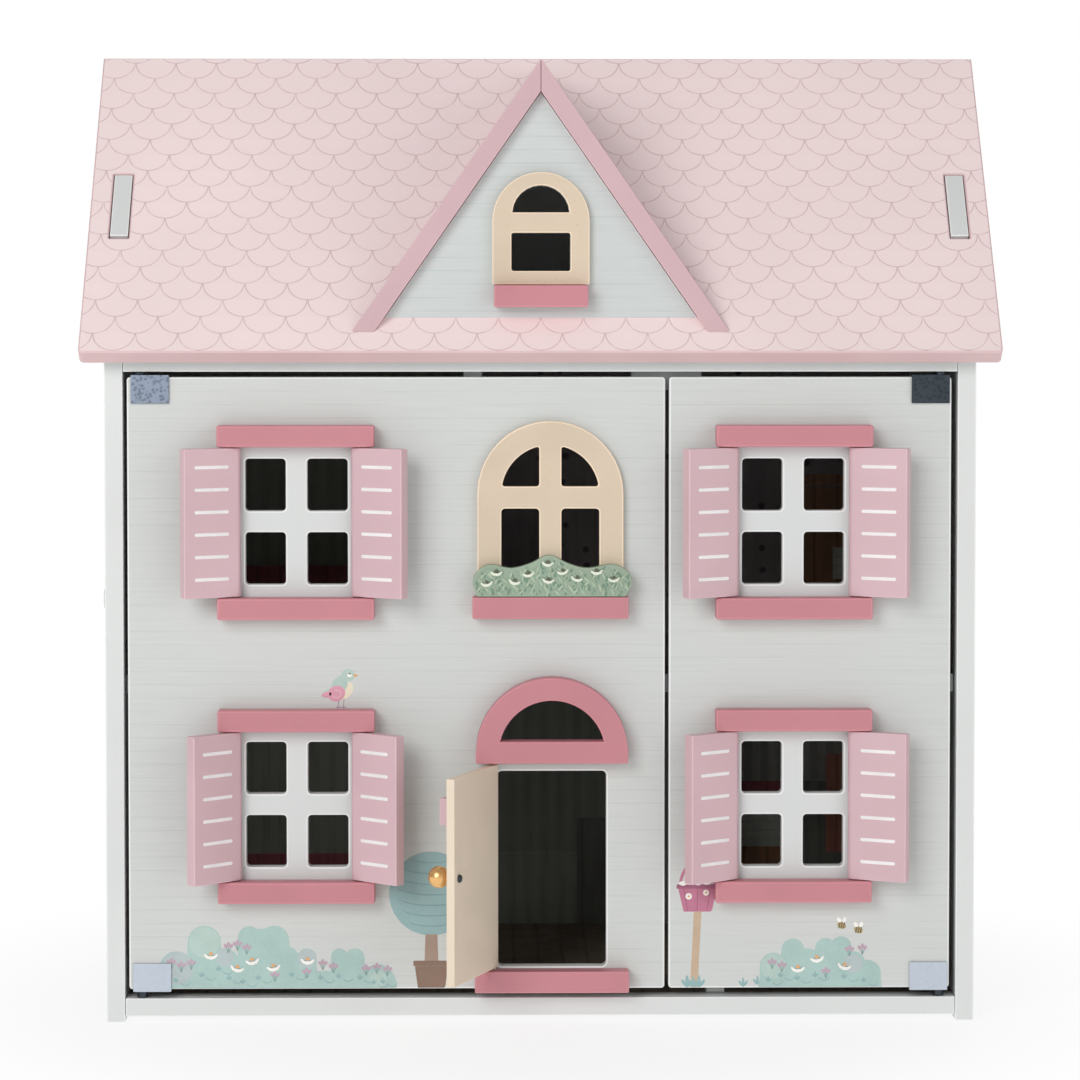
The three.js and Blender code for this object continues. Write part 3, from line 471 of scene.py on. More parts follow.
whiteBoards = ("side_wall_left", "side_wall_right", "base_board", "first_floor_board",
               "attic_floor_board", "back_panel", "upper_partition", "lower_partition")
for board in whiteBoards:
    rounded(board, "painted_" + board, "whitePaint", 0.7)
rounded("wall_cap", "painted_wall_cap", "whitePaint", 0.5)
rounded("front_roof_panel", "scaled_front_roof", "roofEdgePaint", 1.0, 3,
        [(slopeUp, "frontScales"), (tuple(-c for c in slopeUp), "whitePaint")])
rounded("rear_roof_panel", "scaled_rear_roof", "roofEdgePaint", 1.0, 3,
        [(rearUp, "rearScales"), (tuple(-c for c in rearUp), "whitePaint")])
panelLow, panelHigh = (corner.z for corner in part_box("left_front_panel"))
panelMiddle, panelHalf = (panelLow + panelHigh) / 2.0, (panelHigh - panelLow) / 2.0 + 1.4 * mm
for side in ("left", "right"):
    rounded(f"dormer_board_{side}", f"dormer_roof_{side}", "gablePaint", 0.6)
    rounded(f"{side}_front_panel", f"printed_{side}_front", "whitePaint", 1.1, 3,
            [(toFront, "sidingPrint")])
    rounded(f"{side}_strike_plate", f"strike_{side}", "zinc", 0.2)
    for level in ("upper", "lower"):
        # the four caps are one zinc part; the upper ones take darker copies of it as painted reflection and
        # painted shade, and the pins above and below the panel take the darkest, painted shade in the gap
        capFinish = "zinc" if level == "lower" else ("zincSpeckledSkyReflection" if side == "left" else "zincDarkShaded")
        rounded(f"{side}_{level}_pivot_cap", f"cap_{side}_{level}", capFinish, 0.3,
                pin=(panelMiddle, "zincDarkShaded", panelHalf))
        for bar in ("lintel", "sill"):
            rounded(f"{side}_{level}_{bar}", f"rose_{side}_{level}_{bar}", "rosePaint", 1.3, 3,
                    shortest=boreEdge)
        for leaf in ("left", "right"):
            rounded(f"{side}_{level}_shutter_{leaf}", f"leaf_{side}_{level}_{leaf}", "mauvePaint", 0.7)
    rounded(f"ridge_hinge_fixed_leaf_{side}", f"hinge_fixed_{side}", "zinc", 0.15)
    rounded(f"ridge_hinge_moving_leaf_{side}", f"hinge_moving_{side}", "zinc", 0.15)
    rounded(f"ridge_hinge_pin_{side}", f"hinge_pin_{side}", "zinc", 0.1)
rounded("dormer_front", "printed_dormer_front", "whitePaint", 0.5, 2, [(toFront, "dormerPrint")])
rounded("dormer_window_frame", "cream_dormer_frame", "creamPaint", 0.7)
rounded("arch_window_frame", "cream_arch_frame", "creamPaint", 0.9, 3)
for node, borePins in (("dormer_sill", 0.0), ("arch_window_sill", 0.0), ("fanlight_arch", boreEdge),
                       ("door_step", boreEdge)):
    rounded(node, "rose_" + node.replace("window_", ""), "rosePaint", 0.9, 3, shortest=borePins)
rounded("front_door", "cream_front_door", "doorPaint", 0.5)
rounded("letter_box", "mauve_letter_box", "mauvePaint", 0.7)
rounded("flower_planter", "green_planter", "leafPaint", 0.9, 3)
rounded("magnetic_catch", "grey_catch", "greyPlastic", 0.5)
print("boards rounded")

# ---- printed and applied shapes, worked out on grids


def meshOf(name, points, quads, triangles=()):
    mesh = bpy.data.meshes.new(name)
    mesh.from_pydata(points.reshape(-1, 3).tolist(), [], [*quads.reshape(-1, 4).tolist(),
                                                          *np.reshape(triangles, (-1, 3)).tolist()])
    return mesh


def smooth(mesh, degrees):
    # smooth faces, with the edges sharp that turn by more than the angle
    mesh.polygons.foreach_set("use_smooth", np.ones(len(mesh.polygons), bool))
    mesh.set_sharp_from_angle(angle=math.radians(degrees))


def plane(origin, u, v):
    # origin and two directions on a face; the third points out of it
    u, v = np.array(u, float), np.array(v, float)
    return np.array(origin, float), u, v, np.cross(u, v)


def onPlane(face, flat, out):
    # points given by u, v and out, all in mm, as places in metres
    origin, u, v, n = face
    return origin + mm * (flat[..., :1] * u + flat[..., 1:2] * v + out[..., None] * n)


def evenly(outline, around):
    # the same outline with another number of points
    closed = np.concatenate([outline, outline[:1]])
    way = np.linspace(0.0, len(outline), around + 1)[:-1]
    return np.stack([np.interp(way, np.arange(len(closed)), closed[:, k]) for k in (0, 1)], -1)


def blobs(name, outlines, thickness, face, finish, body, rim=1.0, rings=3, lift=0.0):
    # Each blob is a closed shell: the outline, drawn in towards its middle ring by ring while it
    # rises like a quarter ellipse, with a point in the middle of its front and of its flat back.
    around = max(len(outline) for outline in outlines)
    outlines = np.stack([evenly(outline, around) for outline in outlines])
    count = len(outlines)
    middle = outlines.mean(1, keepdims=True)
    turn = np.linspace(0.0, math.pi / 2.0, rings + 1)
    drawn = 1.0 - rim * (1.0 - np.cos(turn)) * 0.98
    rise = thickness * np.sin(turn) + lift
    rings3 = middle[:, None] + (outlines - middle)[:, None] * drawn[None, :, None, None]
    heights = np.broadcast_to(rise[None, :, None], rings3.shape[:3])
    shell = onPlane(face, rings3, heights).reshape(count, -1, 3)
    ends = onPlane(face, np.repeat(middle, 2, 1),
                   np.broadcast_to(np.array([[lift, thickness + lift]]), (count, 2)))
    points = np.concatenate([shell, ends], 1)
    step = points.shape[1] * np.arange(count)[:, None, None]
    here = np.arange(around)
    there = (here + 1) % around
    ring = around * np.arange(rings)[:, None]
    walls = np.stack([ring + here, ring + there, ring + around + there, ring + around + here], -1)
    top = rings * around
    last = (rings + 1) * around
    fans = np.concatenate([np.stack([top + here, top + there, 0 * here + last + 1], -1),
                           np.stack([there, here, 0 * here + last], -1)])
    mesh = meshOf(name, points, walls.reshape(1, -1, 4) + step, fans[None] + step)
    smooth(mesh, 60.0)
    return showMesh(name, mesh, (finish,), body)


def stripFaces(rows):
    # the faces of a strip: rows of four points each, joined side by side and closed at both ends
    first = 4 * np.arange(rows - 1)[:, None]
    corner = np.arange(4)
    nextCorner = (corner + 1) % 4
    walls = np.stack([first + corner, first + 4 + corner, first + 4 + nextCorner,
                      first + nextCorner], -1).reshape(-1, 4)
    last = 4 * (rows - 1)
    return np.concatenate([walls, [[0, 1, 2, 3], [last + 3, last + 2, last + 1, last]]])


def strokes(name, paths, width, thickness, face, finish, body, taper=0.0, lift=0.0):
    # Each stroke is a closed strip: a flat section of four points carried along its path, square
    # to it, as wide as width in the middle and narrower by taper at the ends.
    paths = np.asarray(paths, float)
    count, along = paths.shape[:2]
    ahead = np.gradient(paths, axis=1)
    ahead /= np.linalg.norm(ahead, axis=2, keepdims=True)
    side = np.stack([-ahead[..., 1], ahead[..., 0]], -1)
    t = np.linspace(-1.0, 1.0, along)
    half = 0.5 * width * (1.0 - taper * t * t)
    across = np.array([-1.0, -0.7, 0.7, 1.0])
    flat = paths[:, :, None] + side[:, :, None] * (half[:, None] * across)[None, :, :, None]
    high = np.broadcast_to(lift + thickness * np.array([0.0, 1.0, 1.0, 0.0]), flat.shape[:3])
    points = onPlane(face, flat, high).reshape(count, -1, 3)
    step = points.shape[1] * np.arange(count)[:, None, None]
    return showMesh(name, meshOf(name, points, stripFaces(along)[None] + step), (finish,), body)


bankColumns = 420
bankEnd = 6.0  # length over which a bank rises to its low height, mm


def bank(name, circles, ends, foot, low, thickness, face, finish, body, lift=0.0):
    # A closed strip of columns: each runs from the foot up to the highest of the circles over it,
    # or to a low bank where no circle is higher.
    x = np.linspace(ends[0], ends[1], bankColumns)
    cx, cz, radius = (np.array(circles)[:, k, None] for k in range(3))
    inside = np.maximum(radius ** 2 - (x - cx) ** 2, 0.0)
    tops = np.where(inside > 0.0, cz + np.sqrt(inside), foot)
    ease = np.clip(np.minimum(x - ends[0], ends[1] - x) / bankEnd, 0.0, 1.0)
    top = np.maximum(tops.max(0), foot + 0.4 + (low - foot) * np.sqrt(ease * (2.0 - ease)))
    bottom = np.full_like(x, foot)
    flat = np.stack([np.stack([x, bottom], -1), np.stack([x, top], -1),
                     np.stack([x, top], -1), np.stack([x, bottom], -1)], 1)
    high = np.broadcast_to(lift + np.array([thickness, thickness, 0.0, 0.0]), flat.shape[:2])
    points = onPlane(face, flat, high)
    return showMesh(name, meshOf(name, points, stripFaces(len(x))), (finish,), body)


def fullTurn(around):
    return np.linspace(0.0, 2.0 * math.pi, around + 1)[:-1]


def turned(x, z, p, q, turn):
    # the outline p, q turned by degrees about its own zero, which comes to lie at x, z
    a = math.radians(turn)
    return np.stack([x + p * math.cos(a) - q * math.sin(a), z + p * math.sin(a) + q * math.cos(a)], -1)


def anticlockwise(flat):
    # the sum of the cross products of neighbours is negative on a clockwise outline
    ahead = np.roll(flat, -1, 0)
    area = np.sum(flat[:, 0] * ahead[:, 1] - ahead[:, 0] * flat[:, 1])
    return flat[::-1] if area < 0.0 else flat


def ellipse(x, z, rx, rz, turn=0.0, around=24):
    # middle, half sizes and turn in degrees, run round anticlockwise
    t = fullTurn(around)
    return turned(x, z, rx * np.cos(t), rz * np.sin(t), turn)


def leafShape(x, z, length, width, turn, around=16):
    # pointed oval from its root at x, z: half width is the sine of the way along, squared off a little
    t = fullTurn(around)
    p = length * (1.0 - np.cos(t)) / 2.0
    q = width / 2.0 * np.sin(t) * (0.65 + 0.35 * np.abs(np.sin(t)))
    return anticlockwise(turned(x, z, p, q, turn))


def polygonShape(corners, around=48):
    # the corners joined by straight sides, as points an even way apart
    corners = np.array([*corners, corners[0]], float)
    way = np.concatenate([[0.0], np.cumsum(np.linalg.norm(np.diff(corners, axis=0), axis=1))])
    even = np.linspace(0.0, way[-1], around + 1)[:-1]
    return anticlockwise(np.stack([np.interp(even, way, corners[:, k]) for k in (0, 1)], -1))


def bar(x, low, lowEnds, high, highEnds):
    # an upright shape with level ends, each from and to its own distances from x
    return polygonShape([(x + lowEnds[0], low), (x + lowEnds[1], low), (x + highEnds[1], high),
                         (x + highEnds[0], high)])


def arc(x, z, rx, rz, start, end, along=20):
    t = np.radians(np.linspace(start, end, along))
    return np.stack([x + rx * np.cos(t), z + rz * np.sin(t)], -1)


def capsule(x, z, length, width, turn=0.0, around=28):
    # a bar with round ends: a circle whose halves are moved apart
    t = fullTurn(around)
    p = width / 2.0 * np.cos(t) + np.sign(np.cos(t) + 1e-9) * (length - width) / 2.0
    q = width / 2.0 * np.sin(t)
    return turned(x, z, p, q, turn)


# ---- inks

inks = {
    "slatWhite": (0.83, 0.80, 0.80),
    "inkTeal": (0.385, 0.535, 0.500),
    "inkTealDeep": (0.270, 0.430, 0.430),
    "inkGreyTeal": (0.440, 0.510, 0.510),
    "inkTree": (0.290, 0.440, 0.450),
    "inkMauve": (0.500, 0.350, 0.430),
    "inkRose": (0.500, 0.180, 0.270),
    "inkRoseDeep": (0.330, 0.110, 0.180),
    "inkHoney": (0.420, 0.300, 0.130),
    "inkTealPale": (0.440, 0.570, 0.520),
    "inkBlue": (0.215, 0.350, 0.370),
    "inkLeaf": (0.240, 0.360, 0.330),
    "inkWhite": (0.860, 0.850, 0.800),
    "inkCream": (0.800, 0.730, 0.560),
    "inkPink": (0.690, 0.330, 0.420),
    "inkPinkPale": (0.800, 0.560, 0.610),
    "inkPlum": (0.400, 0.260, 0.330),
    "inkOrange": (0.700, 0.380, 0.170),
    "inkBrown": (0.245, 0.155, 0.115),
    "inkBark": (0.370, 0.265, 0.210),
    "inkTan": (0.540, 0.400, 0.280),
    "inkOlive": (0.120, 0.120, 0.075),
    "leafLight": (0.400, 0.490, 0.360),
    "leafMiddle": (0.290, 0.400, 0.300),
    "leafDeep": (0.165, 0.260, 0.190),
    "petalWhite": (0.740, 0.770, 0.640),
}


def ink(name, colour):
    # matt print with a fine dot grain and slightly uneven strength
    material, tree, bsdf = startMaterial(name)
    grain = ramp(tree, noise(tree, ownCoordinates(tree), 700.0, 2.0), 0.35, 0.7)
    base = cloudy(tree, colour, 0.05, 60.0)
    printed = blendColour(tree, calc(tree, "MULTIPLY", grain, 0.3), base, rgba(shade(colour, 1.13)))
    finishSurface(tree, bsdf, printed, 0.55, 0.06, 0.00001, 1200.0)
    return material


for inkName, inkColour in inks.items():
    mats[inkName] = ink(inkName, inkColour)

# ---- slats printed on the shutters

slatSet = {"count": 6, "spacing": 14.6, "length": 24.8, "width": 2.3, "thickness": 0.18,
           "fromPivot": 17.8}

joints = {joint["name"]: joint for joint in frame["joints"]}


def nodePoints(node):
    mesh = frame["nodes"][node].data
    flat = np.empty(len(mesh.vertices) * 3, np.float32)
    mesh.vertices.foreach_get("co", flat)
    return flat.reshape(-1, 3).astype(float)


def leafFaces(node, joint):
    # planes on both faces of a leaf, as it stands: origin at the pivot, at the leaf's middle height
    points = nodePoints(node)
    pivot = np.array(joints[joint]["pos_m"], float)
    pivot[2] = (points[:, 2].min() + points[:, 2].max()) / 2.0
    away = points[:, :2] - pivot[:2]
    widest = max(frame["nodes"][node].data.polygons, key=lambda face: face.area)
    along = np.cross((0.0, 0.0, 1.0), widest.normal)
    along *= np.sign(along[:2] @ away.mean(0))
    across = np.cross(along, (0.0, 0.0, 1.0))
    reach = away @ across[:2]
    return [plane(pivot + across * reach.max(), along, (0.0, 0.0, 1.0)),
            plane(pivot + across * reach.min(), -along, (0.0, 0.0, 1.0))]


def printSlats(node, body, s):
    rows = (np.arange(s["count"]) - (s["count"] - 1) / 2.0) * s["spacing"]
    for number, face in enumerate(leafFaces(node, f"{node}_hinge")):
        way = 1.0 if number == 0 else -1.0
        shapes = [capsule(way * s["fromPivot"], z, s["length"], s["width"]) for z in rows]
        blobs(f"slats_{node}_{number}", shapes, s["thickness"], face, "slatWhite", body,
              rim=0.3, rings=2, lift=-0.05)


for side in ("left", "right"):
    for level in ("upper", "lower"):
        for leaf in ("left", "right"):
            leafNode = f"{side}_{level}_shutter_{leaf}"
            printSlats(leafNode, leafNode, slatSet)
print("slats printed")

# ---- pictures printed on the front panels

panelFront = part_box("left_front_panel")[0].y
wall = plane((0.0, panelFront, 0.0), (1.0, 0.0, 0.0), (0.0, 0.0, 1.0))
film = 0.14  # thickness of a printed layer, mm
groundZ = 22.6  # foot of the printed plants, just over the panels' lower edge


def stamp(name, outlines, finish, body, lift, rim=1.0, share=1.0):
    # flat shapes on the front panels; share is the part of a full layer that they are thick
    blobs(name, outlines, film * share, wall, finish, body, rim=rim, rings=2, lift=lift)


def draw(name, paths, width, finish, body, lift, taper=0.0, share=0.6):
    strokes(name, paths, width, film * share, wall, finish, body, taper, lift)

leftBushes = {
    "circles": [(-239.6, 35.8, 11.3), (-221.3, 53.0, 10.9), (-208.0, 40.0, 9.0), (-191.7, 56.0, 7.5),
                (-175.5, 54.0, 9.9), (-183.5, 47.0, 15.0), (-167.0, 42.2, 7.9), (-153.9, 42.2, 6.5),
                (-132.6, 43.2, 5.5), (-122.4, 42.2, 6.5), (-127.0, 33.0, 11.0), (-107.0, 28.4, 9.9)],
    "ends": (-252.0, -94.8), "foot": groundZ, "low": 33.5,
    "clumps": [("inkGreyTeal", -239.6, 35.8, 11.0), ("inkTealPale", -221.3, 53.0, 10.4),
               ("inkGreyTeal", -153.9, 42.2, 6.2), ("inkTealPale", -107.0, 28.4, 5.6),
               ("inkGreyTeal", -208.0, 43.0, 6.0)],
}
rightBushes = {
    "circles": [(153.3, 36.3, 8.9), (166.1, 47.1, 7.5), (176.0, 40.0, 8.0), (187.8, 48.1, 6.9),
                (198.0, 49.1, 6.9), (193.0, 42.0, 10.0), (206.0, 38.0, 8.0), (215.4, 31.4, 8.9)],
    "ends": (143.5, 224.8), "foot": groundZ, "low": 31.0,
    "clumps": [("inkTealPale", 153.3, 36.3, 8.6), ("inkGreyTeal", 206.0, 38.0, 6.4)],
}


def smile(x, z, width, depth, turn=0.0, around=28):
    # a crescent: a deep lower arc with five petal tips and a flat upper arc, meeting at two points
    t = np.linspace(0.0, math.pi, around // 2)
    tips = 1.0 + 0.10 * np.abs(np.sin(5.0 * t)) - 0.05
    lower = np.stack([-np.cos(t) * width / 2.0 * tips, -np.sin(t) * depth * tips], -1)
    upper = np.stack([np.cos(t) * width / 2.0 * 0.8, -np.sin(t) * depth * 0.42], -1)[1:-1]
    p, q = np.concatenate([lower, upper]).T
    return turned(x, z, p, q, turn)


def daisies(name, places, width, face, body, lift, petalFinish, centreFinish, thick=None):
    # seen from below: petals hang like a smile under a small round centre
    thick = thick or film
    turns = 14.0 * np.sin(np.arange(len(places)) * 2.4)
    petals = [smile(x, z, width, width * 0.42, turn) for (x, z), turn in zip(places, turns)]
    blobs(name + "_petals", petals, thick, face, petalFinish, body, rim=0.25, rings=2, lift=lift)
    centres = [ellipse(x, z, 0.16 * width, 0.12 * width, 0.0, 14) for x, z in places]
    blobs(name + "_centres", centres, thick * 0.9, face, centreFinish, body, rings=2,
          lift=lift + thick * 0.3)


def florets(name, places, size, body, lift, finish):
    # three small buds on a fork of short stalks
    buds = [ellipse(x + size * dx, z + size * dz, 0.30 * size, 0.46 * size, tilt, 12)
            for x, z in places for dx, dz, tilt in ((-0.55, 0.3, 35.0), (0.0, 0.65, 0.0),
                                                    (0.55, 0.3, -35.0))]
    stamp(name + "_buds", buds, finish, body, lift)
    stalks = [np.linspace((x, z - size), (x + size * dx, z + 0.2 * size), 6)
              for x, z in places for dx in (-0.5, 0.0, 0.5)]
    draw(name + "_stalks", stalks, 0.45, "inkLeaf", body, lift, share=0.7)


def tufts(name, places, size, body, lift):
    # three blades from one root
    blades = [leafShape(x, z, size * reach, size * 0.28, turn) for x, z in places
              for reach, turn in ((0.8, 128.0), (1.0, 92.0), (0.8, 54.0))]
    stamp(name, blades, "inkTealDeep", body, lift, share=0.7)


def printBushes(name, s, body, flowers, buds, sprigs):
    bank(name, s["circles"], s["ends"], s["foot"], s["low"], film, wall, "inkTeal", body, -0.05)
    for number, (finish, x, z, radius) in enumerate(s["clumps"]):
        stamp(f"{name}_clump_{number}", [ellipse(x, z, radius, radius, 0.0, 40)], finish, body,
              -0.03 + 0.01 * number, 0.05)
    smiles = [arc(x + 6.0, z + 1.0, 3.4, 3.0, 195.0, 345.0, 16) for x, z in sprigs]
    draw(name + "_arcs", smiles, 0.5, "inkTealDeep", body, film, 0.6, 0.7)
    daisies(name + "_daisies", flowers, 9.0, wall, body, film, "inkWhite", "inkOrange")
    florets(name + "_florets", buds, 3.4, body, film, "inkMauve")
    tufts(name + "_sprigs", sprigs, 3.8, body, film)


printBushes("left_bushes", leftBushes, "left_front",
            [(-217.0, 45.5), (-190.0, 41.8), (-199.5, 37.0), (-176.0, 37.6), (-153.5, 42.0)],
            [(-205.5, 49.5), (-199.5, 51.0), (-193.5, 48.5), (-243.0, 39.0), (-236.5, 37.0),
             (-230.0, 38.5), (-143.5, 38.0), (-136.5, 36.0), (-154.0, 32.5), (-115.0, 34.5),
             (-108.0, 35.5), (-101.0, 34.0), (-175.0, 30.5)],
            [(-212.0, 34.0), (-223.0, 30.0), (-186.0, 28.0), (-164.0, 30.0), (-145.0, 28.0),
             (-133.0, 29.0), (-119.0, 28.0), (-240.0, 26.5), (-104.0, 25.5), (-196.0, 25.5),
             (-110.0, 25.0), (-205.0, 28.0)])
printBushes("right_bushes", rightBushes, "right_front",
            [(169.5, 36.0), (182.0, 42.5), (200.5, 37.5)],
            [(152.5, 38.0), (159.0, 36.0), (203.5, 46.5), (212.0, 47.5), (188.0, 32.0)],
            [(158.0, 29.0), (169.0, 27.0), (181.0, 29.0), (200.0, 28.0), (213.0, 25.5), (150.0, 26.0)])

treeSet = {"x": -72.0, "z": 85.0, "radius": 28.0, "potZ": 40.0, "foot": groundZ}


def printTree(s, body):
    # round clipped tree in a pot; the leaves are rows of low arcs
    x, z, radius = s["x"], s["z"], s["radius"]
    stamp("tree_crown", [ellipse(x, z, radius, radius, 0.0, 72)], "inkTree", body, -0.05, 0.05)
    rows = []
    for k in range(1, 8):
        fall = z + radius - k * radius * 2.0 / 8.0
        reach = 0.86 * math.sqrt(radius ** 2 - (fall - z) ** 2)
        rows.append(arc(x, fall + 0.26 * reach, reach, 0.30 * reach, 200.0, 340.0, 28))
    draw("tree_rows", rows, 0.7, "inkBlue", body, film * 0.7, 0.8)
    trunk = bar(x, s["potZ"], (-4.6, 4.6), z - radius + 1.5, (-4.0, 4.0))
    pot = bar(x, s["foot"], (-9.0, 9.0), s["potZ"] - 3.0, (-11.0, 11.0))
    rimBand = bar(x, s["potZ"] - 3.0, (-12.0, 12.0), s["potZ"] + 0.6, (-12.0, 12.0))
    stamp("tree_trunk", [trunk], "inkBark", body, -0.04, 0.1)
    stamp("tree_pot", [pot, rimBand], "inkBrown", body, -0.02, 0.1)


printTree(treeSet, "left_front")


def printBird(x, z, body):
    # small bird standing on the lintel, looking right; x, z is the middle of its body
    stamp("bird_body", [ellipse(x + 1.5, z + 1.0, 7.5, 6.0, 35.0)], "inkCream", body, -0.04, 0.2)
    stamp("bird_back", [ellipse(x - 0.5, z + 4.5, 6.6, 5.0, 55.0), ellipse(x + 5.0, z + 11.0, 4.4, 4.0),
                        leafShape(x - 4.0, z + 2.0, 9.5, 3.4, 205.0)], "inkTealPale", body, 0.02, 0.2)
    stamp("bird_wing", [ellipse(x - 2.6, z - 1.0, 6.0, 5.2, 25.0),
                        leafShape(x - 5.0, z - 1.0, 7.5, 4.0, 190.0)], "inkPink", body, 0.08, 0.2)
    draw("bird_curl", [arc(x - 2.4, z - 1.4, 2.8, 2.4, -150.0, 120.0, 24)], 0.5, "inkPinkPale", body,
         0.20)
    stamp("bird_cheek", [ellipse(x + 6.0, z + 10.8, 2.1, 1.7)], "inkWhite", body, 0.06)
    beak = polygonShape([(x + 8.6, z + 12.2), (x + 12.2, z + 10.6), (x + 8.6, z + 9.4)], 18)
    stamp("bird_beak", [beak], "inkOrange", body, 0.02, 0.3)
    stamp("bird_eye", [ellipse(x + 6.2, z + 12.0, 0.7, 0.7, 0.0, 12)], "inkOlive", body, 0.14,
          share=0.7)
    feet = z - 10.2
    lines = (((-1.0, z - 5.0), (-1.6, feet)), ((2.4, z - 4.4), (2.0, feet)),
             ((-3.0, feet), (0.4, feet)), ((0.8, feet), (4.0, feet)))
    legs = [np.linspace((x + start[0], start[1]), (x + end[0], end[1]), 5) for start, end in lines]
    draw("bird_legs", legs, 0.6, "inkPlum", body, -0.02, share=0.7)


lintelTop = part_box("left_lower_lintel")[1].z / mm
printBird(-131.5, lintelTop + 10.8, "left_front")


def printBasket(x, foot, body):
    # flower basket on a post; x is the post's middle at the basket
    post = bar(x, foot, (-4.6, 0.4), foot + 51.0, (-2.2, 2.9))
    stamp("basket_post", [post], "inkTan", body, -0.05, 0.1)
    draw("basket_handle", [arc(x + 0.4, foot + 66.0, 11.6, 17.0, 6.0, 174.0, 36)], 2.2, "inkRose", body,
         -0.04, share=1.0)
    tray = bar(x, foot + 50.0, (-9.0, 9.6), foot + 66.5, (-12.8, 13.4))
    lip = bar(x, foot + 65.2, (-13.6, 14.2), foot + 68.2, (-13.6, 14.2))
    stamp("basket_tray", [tray], "inkRose", body, -0.01, 0.1)
    stamp("basket_lip", [lip], "inkRoseDeep", body, 0.06, 0.2)
    seams = [np.linspace((x + k * 3.2, foot + 50.6), (x + k * 4.4, foot + 65.0), 6) for k in (-2, 0, 2)]
    draw("basket_seams", seams, 0.5, "inkRoseDeep", body, 0.10)
    flowers = ((-9.4, 68.6, 2.8, 1.7), (-5.0, 69.4, 2.9, 1.9), (0.5, 68.8, 2.6, 1.7),
               (6.4, 69.2, 2.8, 1.8), (-5.6, 60.2, 2.2, 2.2), (5.8, 62.6, 2.0, 2.0))
    stamp("basket_flowers", [ellipse(x + dx, foot + dz, rx, rz, 0.0, 18) for dx, dz, rx, rz in flowers],
          "inkWhite", body, 0.12)
    stamp("basket_buds", [ellipse(x + dx, foot + dz, 0.8, 0.8, 0.0, 12) for dx, dz, _, _ in flowers[4:]],
          "inkOrange", body, 0.24, share=0.7)
    tufts("basket_grass", [(x - 2.4, foot), (x - 6.4, foot), (x + 1.4, foot)], 8.0, body, 0.05)


printBasket(103.0, groundZ, "right_front")
tufts("small_grass", [(143.0, 24.0), (133.5, 22.8)], 6.5, "right_front", -0.02)


def printBees(places, body):
    stamp("bee_bodies", [ellipse(x, z, 3.3, 2.5, -24.0, 20) for x, z in places], "inkHoney", body,
          -0.03)
    bands = [np.linspace((x + dx, z - 1.9), (x + dx + 0.9, z + 1.9), 5) for x, z in places
             for dx in (-1.9, -0.4, 1.1)]
    draw("bee_bands", bands, 0.7, "inkOlive", body, 0.08)
    wings = [leafShape(x + dx, z + 1.4, 4.4, 2.6, turn) for x, z in places
             for dx, turn in ((-0.6, 118.0), (0.9, 66.0))]
    stamp("bee_wings", wings, "inkWhite", body, -0.01, share=0.7)


printBees([(198.3, 63.4), (209.4, 60.3)], "right_front")
print("pictures printed")

# ---- flowers and leaves in relief on the planter

planterLow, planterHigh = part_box("flower_planter")
planterFace = plane((0.0, planterLow.y, 0.0), (1.0, 0.0, 0.0), (0.0, 0.0, 1.0))
planterSet = {
    "daisies": [(-29.1, 298.7), (-35.6, 291.7), (-17.1, 292.9), (-8.3, 297.9), (4.4, 304.8),
                (4.8, 293.7), (14.0, 299.4), (23.6, 294.9), (36.3, 299.4), (47.4, 294.5)],
    "columns": 34, "rows": 8, "rowStep": 2.7, "seed": 11,
}


def planterTop(x):
    # height of the planter's outline over x, from the corners of its front face
    points = nodePoints("flower_planter") / mm
    front = points[points[:, 1] < planterLow.y / mm + 0.1]
    shoulders = front[front[:, 2] > planterLow.z / mm + 4.0]
    order = np.argsort(shoulders[:, 0])
    return np.interp(x, shoulders[order, 0], shoulders[order, 2])


def plantLeaves(s, body):
    # rows of pointed leaves over the face, leaning both ways, kept inside its outline, in three greens
    rng = np.random.default_rng(s["seed"])
    low, high = planterLow.x / mm + 2.6, planterHigh.x / mm - 2.6
    columns, rows = np.meshgrid(np.linspace(low, high, s["columns"]), np.arange(s["rows"]))
    x = (columns + rng.uniform(-1.1, 1.1, columns.shape)).ravel()
    z = planterLow.z / mm + 0.7 + (rows * s["rowStep"] + rng.uniform(-0.8, 0.8, rows.shape)).ravel()
    lean = np.where((np.arange(x.size) + rows.ravel()) % 2 == 0, 1.0, -1.0)
    turn = 90.0 + lean * rng.uniform(12.0, 48.0, x.size)
    length = rng.uniform(4.2, 6.6, x.size)
    tipX = x + length * np.cos(np.radians(turn))
    tipZ = z + length * np.sin(np.radians(turn))
    keep = (tipZ < planterTop(tipX) - 0.5) & (tipX > low - 1.6) & (tipX < high + 1.6)
    leaves = np.stack([x, z, length, turn], 1)[keep]
    for number, finish in enumerate(("leafDeep", "leafMiddle", "leafLight")):
        blobs(f"planter_leaves_{number}", [leafShape(a, b, c, c * 0.34, d, 12)
                                           for a, b, c, d in leaves[number::3]],
              0.55 + 0.15 * number, planterFace, finish, body, rings=2, lift=-0.1)
    daisies("planter_daisies", s["daisies"], 8.0, planterFace, body, 0.4, "petalWhite", "inkOlive", 0.6)


plantLeaves(planterSet, "left_front")
print("planter planted")

# ---- knob and its screw


